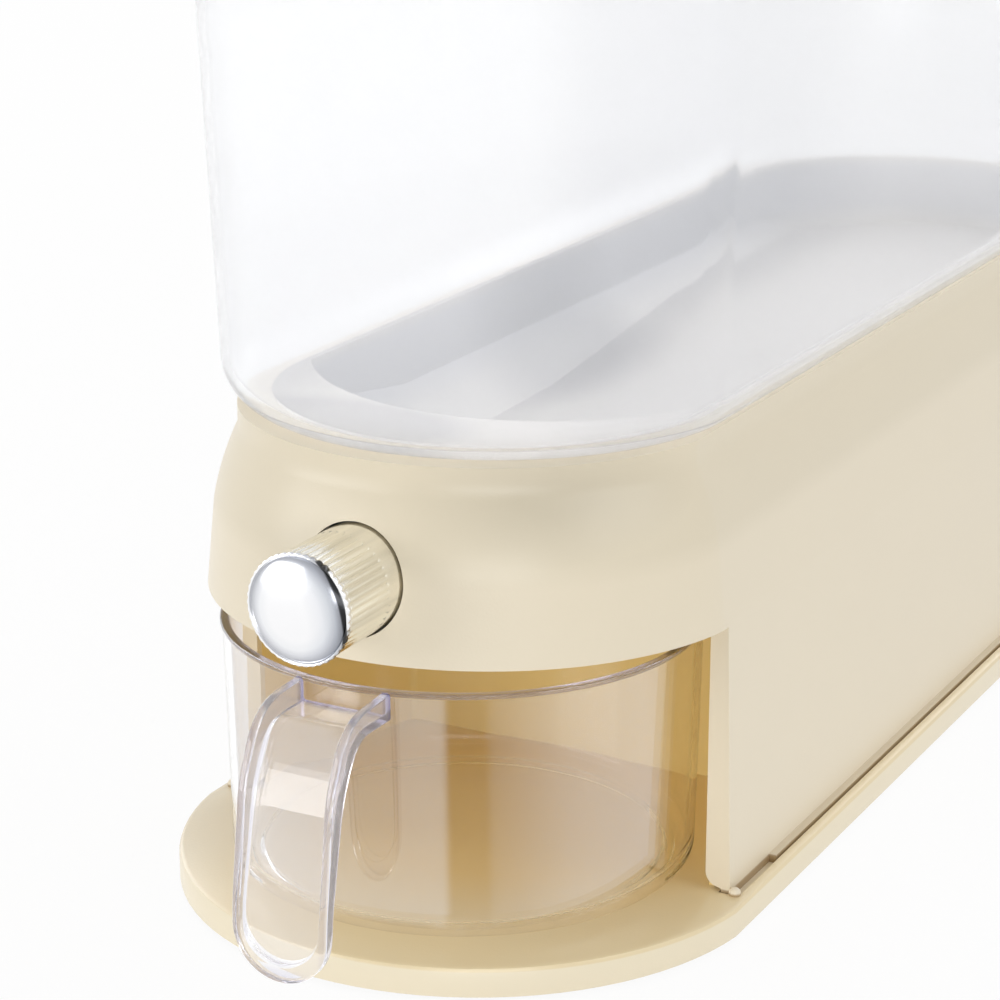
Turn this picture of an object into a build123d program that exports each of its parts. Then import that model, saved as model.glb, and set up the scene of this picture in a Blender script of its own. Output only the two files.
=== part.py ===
from build123d import *
import math
import os

# Countertop grain dispenser: a plate and a moulded housing with a push-button gate,
# a clear measuring cup under the gate, and a long translucent hopper with a flip lid.
# Millimetres. The front faces -Y, up is +Z, z = 0 is the surface that it stands on,
# and the origin is the middle of the footprint of the whole object, handle included.

# Base plate and feet
plate_width = 160.0
plate_length = 470.0
plate_height = 8.0
plate_round = 69.8        # how far the rounded ends reach back from the tips
plate_skin = 4.0
plate_wall = 2.4
plate_edge = 1.3          # rounding of the upper edge
rib_wall = 2.0
rib_gap = 62.0
foot_pad_radius = 5.0
foot_drop = 1.5           # feet below the plate
foot_recess = 1.5
foot_inset = 8.5          # foot centre to the plate's edge
foot_angle = 29.0

# Housing
plate_border = 5.0        # plate outside the housing's foot
housing_wall = 2.5
foot_groove = 1.5
groove_gap = 0.5
groove_width = 2.6        # groove in the plate outside the housing's foot
ledge_width = 2.0         # ledge along the foot, inside that groove
ledge_height = 0.8        # above the plate
ledge_start = 26.0        # behind the side walls' front edges
bay_height = 72.5         # plate to the lower edge of the head
head_height = 22.2        # lower edge of the head to the start of the shoulder
shoulder_height = 19.8
neck_height = 6.0
wall_lean = 2.1           # the walls lean in by this much over the bay, and again over the head
shoulder_slope = 0.17
shoulder_curve = 0.008
shoulder_steps = 7
front_stretch = 1.1       # the front tip goes back a little faster than the sides go in
head_setback = 10.2       # plate tip to the housing's front tip at the foot
body_round = 73.3         # plate tip to the corner between front and side
back_round = 64.0
side_setback = 76.8       # plate tip to the front edges of the side walls
flange_width = 6.9
flange_corner = 4.0
flange_lift = 1.0

# Cup bay and its liner
liner_wall = 1.8
bay_depth = 68.2          # from the side walls' front edges to the bay's back
bay_corner = 20.0
ceiling_wall = 1.5
fit_gap = 0.4             # between parts that drop into each other
seat_gap = 0.3            # between a moving part and what it rests on or runs along

# Hopper
seat_ledge = 3.7
seat_front = 29.9         # plate tip to the hopper's front at its seat
seat_back = 19.6
hopper_wall = 2.2
hopper_height = 182.0     # from the housing's deck to the hopper's rim
hopper_foot = 12.4        # height of the rounded lower edge
hopper_flare = 9.3        # how far that edge swells to the sides
hopper_nose = 9.7         # and to the front and back
hopper_round = 73.3       # plate tip to the soft corner between front and side
hopper_back_round = 64.0
hopper_draft = 7.0
foot_steps = 5
well_ledge = 2.0
well_lip = 2.0            # upright stretch of the well's front wall
well_depth = 16.6         # straight part of the well below the deck
side_slope = 0.824
outlet_width = 48.0
outlet_length = 15.0
outlet_setback = 95.5     # plate tip to the outlet's front edge
outlet_drop = 37.0        # deck to the outlet's upper edge
front_slope = 0.959
floor_wall = 2.4
throat_run = 30.1         # outlet to the level floor
throat_rise = 6.6
level_run = 62.5
ramp_run = 103.5
ramp_rise = 6.3
tail_rise = 2.2

# Gate under the outlet
travel = 16.0
shutter_wall = 2.0
shutter_margin = 9.0      # shutter beside the outlet
shutter_lap = 6.0
lug_wall = 3.0
lug_width = 16.0
lug_rise = 1.7            # lug above the stem
lug_run = 17.5            # lug to the front edge of the shutter's slot
lug_rib_wall = 2.0
lug_rib_run = 8.0
lug_rib_drop = 3.0
frame_wall = 1.5
frame_side = 12.6
frame_tail = 24.5         # outlet to the frame's back end
spout_wall = 2.0
spout_drop = 3.0
seal_wall = 4.0

# Push button
button_height = 19.3      # axis above the lower edge of the head
button_radius = 13.66
button_length = 35.6
button_wall = 2.0
flute_count = 44
flute_depth = 0.45
cap_radius = 14.1
cap_rim = 1.8
cap_dome = 2.6
button_out = 20.1         # barrel's front end before the head's front
hole_radius = 15.0
guide_gap = 0.55
guide_wall = 1.4
guide_inset = 9.6         # guide behind the head's front
guide_clear = 4.0         # guide to the lug
guide_foot = 32.0
guide_foot_setback = 8.0
guide_ear = 14.0
guide_ear_setback = 8.0
guide_ear_length = 12.0
guide_height = 3.0
stem_radius = 3.0
stem_end_radius = 2.4
stem_tip = 2.5
spring_radius = 4.6
spring_wire = 0.55
spring_turns = 14
clip_wall = 1.0
clip_radius = 4.2
shaft_gap = 0.05

# Measuring cup
cup_setback = 71.9        # plate tip to the cup's centre
cup_radius = 62.6
cup_height = 67.8
cup_wall = 1.9
cup_lean = 1.3
cup_bead = 0.7
cup_bead_height = 2.2
cup_floor = 4.0
cup_floor_lift = 1.2
cup_ring_radius = 56.0
cup_ring_wall = 3.0
cup_corner = 4.0
handle_reach = 21.0       # handle in front of the plate's tip
handle_width = 26.6
handle_web = 1.5
handle_rim = 2.4
# Bends of the handle's front and back edges: back from its front, up from the plate, radius
handle_front = ((12.2, 65.7, 15.0), (4.1, 48.5, 38.0), (0.0, 17.5, 60.0))
handle_back = ((17.4, 59.4, 8.0), (10.0, 48.0, 40.0), (3.5, 16.5, 60.0))
handle_slope = 0.05       # of the front edge's first stretch; the back edge's is level
handle_depth = 12.0       # that both edges run on under the handle's end
handle_end = 0.5          # handle's lower end above the plate's level
handle_toe = 2.5          # extra thickness of that end

# Lid
lid_overlap = 8.0
lid_skirt = 2.1
lid_deck = 3.0
lid_height = 10.0
lid_wall = 2.4
lid_edge = 1.5
lid_inset = 0.8
mouth_inset = 14.0
hinge_setback = 268.0     # plate tip to the hinge
hinge_rise = 6.0
hinge_radius = 3.6
pin_radius = 2.0
knuckle_edge = (10.0, 31.0, 50.0)
hinge_clear = 4.5
hinge_back = 6.0
gasket_inset = 7.0
gasket_wall = 2.6
gasket_height = 2.2
tab_width = 34.0
tab_reach = 2.0
tab_wall = 3.0
tab_root = 4.0
bridge_half = 12.0        # deck under the hinge, before and behind its axis
arm_half = 2.0

# Screws
screw_radius = 1.4
screw_hole = 1.45
screw_head = 2.8
screw_head_height = 1.8
screw_recess = 2.5        # heads under the plate
base_screw_length = 15.0
boss_radius = 4.5
boss_height = 18.0
boss_floor = 3.0
boss_rows = (165.0, 265.0, 385.0)
boss_inset = 12.5

# Levels and stations that follow from the sizes above
front_y = -(plate_length + handle_reach) / 2
plate_front = front_y + handle_reach
plate_back = plate_front + plate_length
plate_z = foot_drop
plate_top = plate_z + plate_height
groove_z = plate_top - foot_groove
head_z = plate_top + bay_height
shoulder_z = head_z + head_height
neck_z = shoulder_z + shoulder_height
deck_z = neck_z + neck_height
rim_z = deck_z + hopper_height
button_z = head_z + button_height

foot_half = plate_width / 2 - plate_border
body_front = plate_front + head_setback
body_back = plate_back - plate_border
body_corner = plate_front + body_round
body_back_corner = plate_back - back_round
side_front = plate_front + side_setback
bay_half = foot_half - flange_width
bay_back = side_front + bay_depth
cup_y = plate_front + cup_setback

outlet_front = plate_front + outlet_setback
outlet_back = outlet_front + outlet_length
outlet_z = deck_z - outlet_drop
funnel_z = outlet_z - floor_wall
well_z = deck_z - well_depth

ceiling_top = head_z + ceiling_wall
chute_top = ceiling_top + frame_wall
shutter_z = chute_top + seat_gap
frame_z = shutter_z + shutter_wall + seat_gap
frame_top = frame_z + frame_wall
shutter_half = outlet_width / 2 + shutter_margin
frame_half = shutter_half + fit_gap + frame_side
frame_front = outlet_front - shutter_lap
frame_back = outlet_back + frame_tail

lug_y = outlet_front - travel - lug_run - lug_wall
head_tip = body_front + front_stretch * wall_lean
barrel_front = head_tip - button_out
barrel_back = barrel_front + button_length
guide_back = lug_y - guide_clear
guide_front = head_tip + guide_inset

lid_z = rim_z + lid_deck
lid_top = lid_z + lid_height
hinge_y = plate_front + hinge_setback
hinge_z = lid_z + hinge_rise


def plan_face(half, front, back, front_corner, back_corner, z):
    """Level face with two straight sides and an arc over each end."""
    edges = [
        Line((half, front_corner), (half, back_corner)),
        ThreePointArc((half, back_corner), (0, back), (-half, back_corner)),
        Line((-half, back_corner), (-half, front_corner)),
        ThreePointArc((-half, front_corner), (0, front), (half, front_corner)),
    ]
    return Pos(0, 0, z) * Face(Wire(edges))


def block(x, y, z):
    """Box between two values on each axis."""
    size = Box(x[1] - x[0], y[1] - y[0], z[1] - z[0])
    return Pos((x[0] + x[1]) / 2, (y[0] + y[1]) / 2, (z[0] + z[1]) / 2) * size


def rod_y(radius, y0, y1, x=0.0, z=button_z):
    return Pos(x, (y0 + y1) / 2, z) * Rot(90, 0, 0) * Cylinder(radius, y1 - y0)


def rod_x(radius, x0, x1, y, z):
    return Pos((x0 + x1) / 2, y, z) * Rot(0, 90, 0) * Cylinder(radius, x1 - x0)


def rod_z(radius, z0, z1, x, y):
    return Pos(x, y, (z0 + z1) / 2) * Cylinder(radius, z1 - z0)


def stack(faces):
    return loft(faces, ruled=True)


def plate_plan(inset, z):
    return plan_face(plate_width / 2 - inset, plate_front + inset, plate_back - inset,
                     plate_front + plate_round, plate_back - plate_round, z)


def body_inset(z):
    """How far the housing's wall has come in from its foot at a height."""
    if z <= head_z:
        return wall_lean * (z - plate_top) / bay_height
    if z <= shoulder_z:
        return wall_lean + wall_lean * (z - head_z) / head_height
    rise = min(z, neck_z) - shoulder_z
    return 2 * wall_lean + shoulder_slope * rise + shoulder_curve * rise ** 2


def body_plan(z, wall=0.0, level=None):
    inset = body_inset(z)
    return plan_face(foot_half - inset - wall, body_front + front_stretch * inset + wall,
                     body_back - inset - wall, body_corner, body_back_corner,
                     z if level is None else level)


neck_half = foot_half - body_inset(neck_z)
seat_half = neck_half - seat_ledge
seat_y = plate_front + seat_front
seat_end = plate_back - seat_back


def seat_plan(inset, z):
    return plan_face(seat_half - inset, seat_y + inset, seat_end - inset,
                     seat_y + seat_half, seat_end - seat_half, z)


def well_front():
    """Front of the well, where the front slope meets the deck."""
    return outlet_front - (outlet_drop - well_lip) / front_slope


def well_plan(inset, z):
    half = seat_half - well_ledge - inset
    return plan_face(half, well_front() - hopper_wall + inset, seat_end - well_ledge - inset,
                     seat_y + seat_half, seat_end - seat_half, z)


def hopper_plan(swell, draft, wall, z):
    """Hopper outline: swell runs 0 to 1 over the rounded foot, draft 0 to 1 up to the rim."""
    half = seat_half + hopper_flare * swell + hopper_draft * draft - wall
    front = seat_y - hopper_nose * swell - hopper_draft * draft + wall
    back = seat_end + hopper_nose * swell + hopper_draft * draft - wall
    corner = seat_y + seat_half + (plate_front + hopper_round - seat_y - seat_half) * swell
    end = seat_end - seat_half
    back_corner = end + (plate_back - hopper_back_round - end) * swell
    return plan_face(half, front, back, corner, back_corner, z)


def hopper_levels(wall, bottom):
    """Outlines from the seat up to the rim; the foot is a quarter of an ellipse."""
    faces = []
    for step in range(foot_steps + 1):
        turn = math.pi / 2 * step / foot_steps
        height = deck_z + bottom + (hopper_foot - bottom) * (1 - math.cos(turn))
        faces.append(hopper_plan(math.sin(turn), 0.0, wall, height))
    return faces


def screw(x, y, z, length, up=True):
    """Pan-head screw whose head seats at z, pointing up or down."""
    way = 1 if up else -1
    head = sorted((z - way * screw_head_height, z))
    shank = sorted((z, z + way * length))
    return rod_z(screw_head, head[0], head[1], x, y) + rod_z(screw_radius, shank[0], shank[1], x, y)


def foot_places():
    centre = plate_front + (plate_width / 2) * 1.01
    reach = centre - plate_front - foot_inset
    turn = math.radians(foot_angle)
    x = reach * math.cos(turn)
    y = centre - reach * math.sin(turn)
    side = plate_width / 2 - foot_inset
    middle = (plate_front + plate_back) / 2
    places = [(0, plate_front + foot_inset), (0, plate_back - foot_inset)]
    for sign in (-1, 1):
        places.append((sign * x, y))
        places.append((sign * side, middle))
        places.append((sign * x, plate_back - (y - plate_front)))
    return places


def boss_places():
    rows = [plate_front + row for row in boss_rows]
    return [(sign * (foot_half - boss_inset), y) for y in rows for sign in (-1, 1)]


def make_base_plate():
    body = stack([plate_plan(0, plate_z), plate_plan(0, plate_top - plate_edge),
                  plate_plan(plate_edge * 0.3, plate_top - plate_edge * 0.35),
                  plate_plan(plate_edge, plate_top)])
    hollow = extrude(plate_plan(plate_wall, plate_z), plate_height - plate_skin)
    ribs = block((-rib_wall / 2, rib_wall / 2), (plate_front, plate_back), (plate_z, plate_top))
    for number in range(int(plate_length / rib_gap) - 1):
        y = plate_front + rib_gap * (number + 1.25)
        ribs += block((-plate_width, plate_width), (y - rib_wall / 2, y + rib_wall / 2),
                      (plate_z, plate_top))
    for x, y in foot_places():
        ribs += rod_z(foot_pad_radius + 2.0, plate_z, plate_top, x, y)
    for x, y in boss_places():
        ribs += rod_z(boss_radius + 0.8, plate_z, plate_top, x, y)
    body = body - (hollow - ribs)
    outer = body_plan(plate_top, -groove_width, groove_z)
    inner = body_plan(plate_top, housing_wall + groove_gap, groove_z)
    groove = extrude(outer, foot_groove + 1) - extrude(inner, foot_groove + 1)
    groove -= block((-plate_width, plate_width), (plate_front, side_front - groove_gap),
                    (plate_z, plate_top + 2))
    body -= groove
    for x, y in foot_places():
        body -= rod_z(foot_pad_radius + 0.2, plate_z - 1, plate_z + foot_recess, x, y)
    for x, y in boss_places():
        body -= rod_z(screw_head + fit_gap, plate_z - 1, plate_z + screw_recess, x, y)
        body -= rod_z(screw_radius + fit_gap, plate_z, plate_top + 1, x, y)
    return body


def make_rubber_feet():
    feet = []
    for x, y in foot_places():
        feet.append(rod_z(foot_pad_radius, 0, plate_z + foot_recess, x, y))
    return feet


def make_base_screws():
    return [screw(x, y, plate_z + screw_recess, base_screw_length) for x, y in boss_places()]


def make_housing():
    levels = [groove_z, head_z, shoulder_z]
    levels += [shoulder_z + shoulder_height * (n + 1) / shoulder_steps for n in range(shoulder_steps)]
    levels.append(deck_z)
    outer = stack([body_plan(z) for z in levels])
    inner_levels = [z for z in levels if z < deck_z]
    inner_levels[0] = groove_z - 1
    inner = stack([body_plan(z, housing_wall) for z in inner_levels]
                  + [body_plan(deck_z, housing_wall, deck_z - housing_wall)])
    body = outer - inner
    body -= extrude(well_plan(-fit_gap, deck_z - 2 * housing_wall), 3 * housing_wall)
    body -= block((-plate_width, plate_width), (front_y, side_front), (0, head_z))
    # Flanges that face forward beside the cup, rounded at their lower inner corners
    flanges = block((-foot_half, foot_half), (side_front, side_front + housing_wall),
                    (plate_top + flange_lift, head_z))
    window = block((-bay_half, bay_half), (side_front - 1, side_front + housing_wall + 1), (0, head_z + 1))
    flanges -= window
    flanges = fillet(flanges.edges().filter_by(Axis.Y).group_by(Axis.Z)[0]
                     .sort_by(Axis.X)[1:3], flange_corner)
    body += flanges & stack([body_plan(groove_z), body_plan(head_z)])
    ledge = extrude(body_plan(plate_top, -ledge_width, groove_z), foot_groove + ledge_height)
    ledge -= extrude(body_plan(plate_top, housing_wall / 2, groove_z - 1), foot_groove + ledge_height + 2)
    body += ledge & block((-plate_width, plate_width), (side_front + ledge_start, plate_back), (0, head_z))
    body -= rod_y(hole_radius, front_y, body_corner)
    for x, y in boss_places():
        side = 1 if x > 0 else -1
        rib = sorted((x, side * (foot_half - 0.6 * housing_wall)))
        body += rod_z(boss_radius, plate_top, plate_top + boss_height, x, y)
        body += block(rib, (y - 1.0, y + 1.0), (plate_top, plate_top + boss_height))
    for x, y in boss_places():
        body -= rod_z(screw_hole, plate_top - 1, plate_top + boss_height - boss_floor, x, y)
    return body


def bay_box(wall, z0, z1):
    """Upright U of the bay, grown by a wall: flat sides and a back with round corners."""
    body = block((-bay_half - wall, bay_half + wall),
                 (side_front + housing_wall, bay_back + wall), (z0, z1))
    edges = body.edges().filter_by(Axis.Z).group_by(Axis.Y)[-1]
    return fillet(edges, bay_corner + wall)


def make_bay_liner():
    body = bay_box(liner_wall, plate_top, head_z)
    body -= block((-bay_half, bay_half), (front_y, side_front + 2 * housing_wall),
                  (plate_top - 1, head_z + 1))
    body -= bay_box(0.0, plate_top - 1, head_z + 1)
    ceiling = extrude(body_plan(head_z, housing_wall + fit_gap), ceiling_wall)
    front_part = block((-plate_width, plate_width), (front_y, bay_back + liner_wall - bay_corner),
                       (head_z, ceiling_top))
    ceiling &= front_part + bay_box(liner_wall, head_z, ceiling_top)
    body += ceiling
    spout = spout_size(spout_wall + fit_gap)
    body -= block(spout[0], spout[1], (head_z - 1, ceiling_top + 1))
    for x, y in gate_screw_places() + guide_screw_places():
        body -= rod_z(screw_hole, head_z - 1, ceiling_top + 1, x, y)
    return body


def spout_size(grow):
    half = outlet_width / 2 + grow
    return ((-half, half), (outlet_front - grow, outlet_back + grow))


def gate_screw_places():
    x = frame_half - frame_side / 2
    return [(sign * x, y) for sign in (-1, 1) for y in (frame_front + 5, frame_back - 5)]


def guide_screw_places():
    x = (guide_foot + guide_ear) / 2
    return [(sign * x, guide_back - guide_ear_setback - guide_ear_length / 2) for sign in (-1, 1)]


def make_chute():
    body = block((-frame_half, frame_half), (frame_front, frame_back), (ceiling_top, chute_top))
    spout = spout_size(spout_wall)
    body += block(spout[0], spout[1], (head_z - spout_drop, chute_top))
    hole = spout_size(0.0)
    body -= block(hole[0], hole[1], (head_z - spout_drop - 1, chute_top + 1))
    for x, y in gate_screw_places():
        body -= rod_z(screw_radius + 0.2, ceiling_top - 1, chute_top + 1, x, y)
    return body


def make_gate_frame():
    body = block((-frame_half, frame_half), (frame_front, frame_back), (chute_top, frame_top))
    channel = shutter_half + fit_gap
    body -= block((-channel, channel), (frame_front - 1, frame_back + 1), (chute_top - 1, frame_z))
    hole = spout_size(0.0)
    body -= block(hole[0], hole[1], (chute_top - 1, frame_top + 1))
    for x, y in gate_screw_places():
        body -= rod_z(screw_radius + 0.2, chute_top - 1, frame_top + 1, x, y)
    return body


def make_gate_screws():
    length = frame_top - head_z - 0.2
    return [screw(x, y, frame_top, length, up=False) for x, y in gate_screw_places()]


def make_outlet_seal():
    outer = spout_size(seal_wall)
    hole = spout_size(0.0)
    body = block(outer[0], outer[1], (frame_top, funnel_z - seat_gap))
    return body - block(hole[0], hole[1], (frame_top - 1, funnel_z + 1))


def make_shutter():
    tail = outlet_back + shutter_lap
    body = block((-shutter_half, shutter_half), (lug_y, tail), (shutter_z, shutter_z + shutter_wall))
    hole = spout_size(0.0)
    body -= block(hole[0], (hole[1][0] - travel, hole[1][1] - travel), (shutter_z - 1, frame_z))
    body += block((-lug_width / 2, lug_width / 2), (lug_y, lug_y + lug_wall),
                  (shutter_z, button_z + stem_radius + lug_rise))
    for sign in (-1, 1):
        x = sign * (lug_width - lug_rib_wall) / 2
        low = shutter_z + shutter_wall / 2
        near = lug_y + lug_wall
        rib = [(near, low), (near + lug_rib_run, low), (near + lug_rib_run, shutter_z + shutter_wall),
               (near, button_z - stem_radius - lug_rib_drop)]
        side = Plane((x, 0, 0), x_dir=(0, 1, 0), z_dir=(1, 0, 0))
        face = side.location * Face(Wire.make_polygon(rib, close=True))
        body += extrude(face, lug_rib_wall / 2, dir=(1, 0, 0), both=True)
    return body - rod_y(stem_end_radius + shaft_gap, lug_y - 1, lug_y + lug_wall + 1)


def make_button_guide():
    bore = button_radius + guide_gap
    body = rod_y(bore + guide_wall, guide_front, guide_back)
    body += block((-guide_foot / 2, guide_foot / 2), (guide_front + guide_foot_setback, guide_back),
                  (ceiling_top, button_z))
    half = guide_foot / 2 + guide_ear
    ear_back = guide_back - guide_ear_setback
    body += block((-half, half), (ear_back - guide_ear_length, ear_back),
                  (ceiling_top, ceiling_top + guide_height))
    body -= rod_y(bore, guide_front - 1, guide_back - lug_wall)
    body -= rod_y(stem_radius + seat_gap, guide_front, guide_back + 1)
    for x, y in guide_screw_places():
        body -= rod_z(screw_radius + 0.2, ceiling_top - 1, ceiling_top + guide_height + 1, x, y)
    return body


def make_guide_screws():
    top = ceiling_top + guide_height
    return [screw(x, y, top, top - head_z - 0.2, up=False) for x, y in guide_screw_places()]


def make_button_barrel():
    points = []
    for tooth in range(2 * flute_count):
        radius = button_radius - (flute_depth if tooth % 2 else 0.0)
        turn = math.pi * tooth / flute_count
        points.append((radius * math.cos(turn), radius * math.sin(turn)))
    face = Plane((0, barrel_front, button_z), x_dir=(1, 0, 0), z_dir=(0, 1, 0)).location \
        * Face(Wire.make_polygon(points, close=True))
    body = extrude(face, button_length)
    body -= rod_y(button_radius - button_wall, barrel_front + button_wall, barrel_back + 1)
    return body - rod_y(stem_end_radius + shaft_gap, barrel_front - 1, barrel_front + button_wall + 1)


def make_button_cap():
    dome = cap_radius - 1.0
    ball = (dome ** 2 + cap_dome ** 2) / (2 * cap_dome)
    half_turn = math.asin(dome / ball) / 2
    top = cap_rim - 0.2 + cap_dome
    outline = [
        Line((0, 0), (cap_radius - 0.4, 0)),
        Line((cap_radius - 0.4, 0), (cap_radius, 0.4)),
        Line((cap_radius, 0.4), (cap_radius, cap_rim - 0.5)),
        Line((cap_radius, cap_rim - 0.5), (cap_radius - 0.5, cap_rim)),
        Line((cap_radius - 0.5, cap_rim), (dome, cap_rim - 0.2)),
        ThreePointArc((dome, cap_rim - 0.2),
                      (ball * math.sin(half_turn), top - ball * (1 - math.cos(half_turn))), (0, top)),
        Line((0, top), (0, 0)),
    ]
    body = revolve(Face(Wire(outline)), Axis.Y, 360)
    return Pos(0, barrel_front, button_z) * Rot(0, 0, 180) * body


def make_push_stem():
    end = lug_y + lug_wall + stem_tip
    body = rod_y(stem_radius, barrel_front + button_wall, lug_y)
    body += rod_y(stem_end_radius, barrel_front, end)
    groove = rod_y(stem_radius, lug_y + lug_wall, lug_y + lug_wall + clip_wall)
    return body - (groove - rod_y(stem_end_radius - 0.4, lug_y, end))


def make_stem_clip():
    y = lug_y + lug_wall
    body = rod_y(clip_radius, y, y + clip_wall) - rod_y(stem_end_radius - 0.4, y - 1, y + 2)
    return body - block((-1.6, 1.6), (y - 1, y + 2), (button_z - clip_radius - 1, button_z))


def coil_point(turn, y0, pitch):
    angle = 2 * math.pi * turn
    place = Vector(spring_radius * math.cos(angle), y0 + pitch * turn, spring_radius * math.sin(angle))
    rate = 2 * math.pi * spring_radius
    along = Vector(-rate * math.sin(angle), pitch, rate * math.cos(angle)).normalized()
    return place + Vector(0, 0, button_z), along


def make_return_spring():
    """Round wire wound between the barrel's end and the guide's back wall."""
    y0 = barrel_front + button_wall + spring_wire
    y1 = guide_back - lug_wall - spring_wire
    pitch = (y1 - y0) / spring_turns
    edges = []
    for part in range(4 * spring_turns):
        start, along = coil_point(part / 4, y0, pitch)
        stop, leave = coil_point((part + 1) / 4, y0, pitch)
        gap = stop - start
        # Equal arms of a biarc: both control arms have the same length
        total = along + leave
        a = 2 * (1 - along.dot(leave))
        b = 2 * gap.dot(total)
        c = -gap.dot(gap)
        arm = (-b + math.sqrt(b * b - 4 * a * c)) / (2 * a)
        first = start + along * arm
        second = stop - leave * arm
        joint = (first + second) * 0.5
        edges.append(Edge.make_tangent_arc(start, along, joint))
        edges.append(Edge.make_tangent_arc(joint, second - first, stop))
    path = Wire(edges)
    start, along = coil_point(0, y0, pitch)
    profile = Plane(start, z_dir=along).location * Circle(spring_wire)
    return sweep(profile, path)


def make_measuring_cup():
    top = cup_height
    low = cup_radius - cup_lean
    ring = cup_ring_radius
    outline = [
        Line((0, cup_floor_lift), (ring - cup_ring_wall, cup_floor_lift)),
        Line((ring - cup_ring_wall, cup_floor_lift), (ring - cup_ring_wall + 0.6, 0)),
        Line((ring - cup_ring_wall + 0.6, 0), (ring, 0)),
        Line((ring, 0), (ring + 0.6, cup_floor_lift)),
        Line((ring + 0.6, cup_floor_lift), (low - cup_corner, cup_floor_lift)),
        ThreePointArc((low - cup_corner, cup_floor_lift),
                      (low - cup_corner * 0.293, cup_floor_lift + cup_corner * 0.293),
                      (low, cup_floor_lift + cup_corner)),
        Line((low, cup_floor_lift + cup_corner), (cup_radius, top - cup_bead_height)),
        Line((cup_radius, top - cup_bead_height), (cup_radius + cup_bead, top - cup_bead_height + 0.5)),
        Line((cup_radius + cup_bead, top - cup_bead_height + 0.5), (cup_radius + cup_bead, top - 0.4)),
        Line((cup_radius + cup_bead, top - 0.4), (cup_radius + cup_bead - 0.4, top)),
        Line((cup_radius + cup_bead - 0.4, top), (cup_radius - cup_wall, top)),
        Line((cup_radius - cup_wall, top), (low - cup_wall, cup_floor + cup_corner)),
        ThreePointArc((low - cup_wall, cup_floor + cup_corner),
                      (low - cup_wall - cup_corner * 0.293, cup_floor + cup_corner * 0.293),
                      (low - cup_wall - cup_corner, cup_floor)),
        Line((low - cup_wall - cup_corner, cup_floor), (0, cup_floor)),
        Line((0, cup_floor), (0, cup_floor_lift)),
    ]
    face = Plane.XZ.location * Face(Wire(outline))
    body = Pos(0, cup_y, plate_top) * revolve(face, Axis.Z, 360)
    strap = make_handle()
    strap -= rod_z(cup_radius - cup_wall / 2, 0, rim_z, 0, cup_y)
    return body + strap


def handle_region(bends, slope, grow, half):
    """Space behind one edge curve of the handle, grown by an amount, in a width of two halves."""
    back = cup_y - front_y
    points = [(back, bends[0][1] + (back - bends[0][0]) * slope)]
    points += [(bend[0], bend[1]) for bend in bends]
    points += [(bends[-1][0], -handle_depth), (back, -handle_depth)]
    face = Face(Wire.make_polygon(points, close=True))
    if grow:
        face = offset(face, grow, kind=Kind.INTERSECTION).faces()[0]
    for bend in bends:
        corner = face.vertices().sort_by_distance((bend[0], bend[1]))[0]
        face = fillet(corner, bend[2] + grow).faces()[0]
    side = Plane((0, front_y, plate_top), x_dir=(0, 1, 0), z_dir=(1, 0, 0))
    return extrude(side.location * face, half, dir=(1, 0, 0), both=True)


def handle_outline(half, toe):
    """Front view of the strap: straight sides and a round lower end."""
    centre = plate_top + handle_end + handle_width / 2 + toe
    return rod_y(half, front_y - 5, cup_y, 0, centre) + \
        block((-half, half), (front_y - 5, cup_y), (centre, rim_z))


def make_handle():
    """Strap with a raised edge all round, open towards the front."""
    strap = handle_region(handle_front, handle_slope, 0.0, handle_width)
    strap -= handle_region(handle_back, 0.0, 0.0, handle_width + 1)
    strap &= handle_outline(handle_width / 2, 0.0)
    channel = handle_region(handle_front, handle_slope, 1.0, handle_width)
    channel -= handle_region(handle_back, 0.0, handle_web, handle_width + 1)
    channel &= handle_outline(handle_width / 2 - handle_rim, handle_toe)
    return strap - channel


def half_space(point, normal):
    """Everything on the side that the normal points to, within reach of the hopper."""
    return Plane(point, z_dir=normal).location * Pos(0, 0, 400) * Box(1600, 1600, 800)


def funnel_space(drop, wall):
    """Space over the sloping floor, down to the outlet; drop and wall move its faces out."""
    far = seat_end + 40
    top = deck_z + 30
    reach = (outlet_drop + 60) / front_slope
    side = seat_half - well_ledge
    level = outlet_z + throat_rise - drop
    points = [
        (outlet_front - reach, outlet_z - drop + reach * front_slope),
        (outlet_front, outlet_z - drop),
        (outlet_back, outlet_z - drop),
        (outlet_back + throat_run, level),
        (outlet_back + throat_run + level_run, level + 0.7),
        (outlet_back + throat_run + level_run + ramp_run, level + ramp_rise),
        (far, level + ramp_rise + tail_rise),
        (far, top + 60),
    ]
    floor = Plane.YZ.location * Face(Wire.make_polygon([(y, z) for y, z in points], close=True))
    body = extrude(floor, side + 5, both=True)
    inner = side - hopper_wall + wall
    low = outlet_z - 30
    run = (well_z - low) / side_slope
    foot = inner - run
    points = [(-inner - 30, well_z - drop + 30 * side_slope), (-foot, low - drop), (foot, low - drop),
              (inner + 30, well_z - drop + 30 * side_slope), (inner + 30, top), (-inner - 30, top)]
    if foot < 0:
        middle = well_z - side_slope * inner - drop
        points = [(-inner - 30, well_z - drop + 30 * side_slope), (0, middle),
                  (inner + 30, well_z - drop + 30 * side_slope), (inner + 30, top), (-inner - 30, top)]
    across = Plane.XZ.location * Face(Wire.make_polygon(points, close=True))
    body &= extrude(across, 400, both=True)
    # Slanting faces that lead the grain from the sides to the narrower outlet
    for sign in (-1, 1):
        fold_y = outlet_back + throat_run
        upper = Vector(sign * inner, fold_y, well_z - drop)
        lower = Vector(sign * (inner - (well_z - level - drop) / side_slope), fold_y, level)
        mouth = Vector(sign * (outlet_width / 2 + wall), outlet_front, outlet_z - drop)
        normal = (upper - lower).cross(mouth - lower)
        if normal.Z < 0:
            normal = normal * -1
        body &= half_space(upper, normal)
    return body


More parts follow.
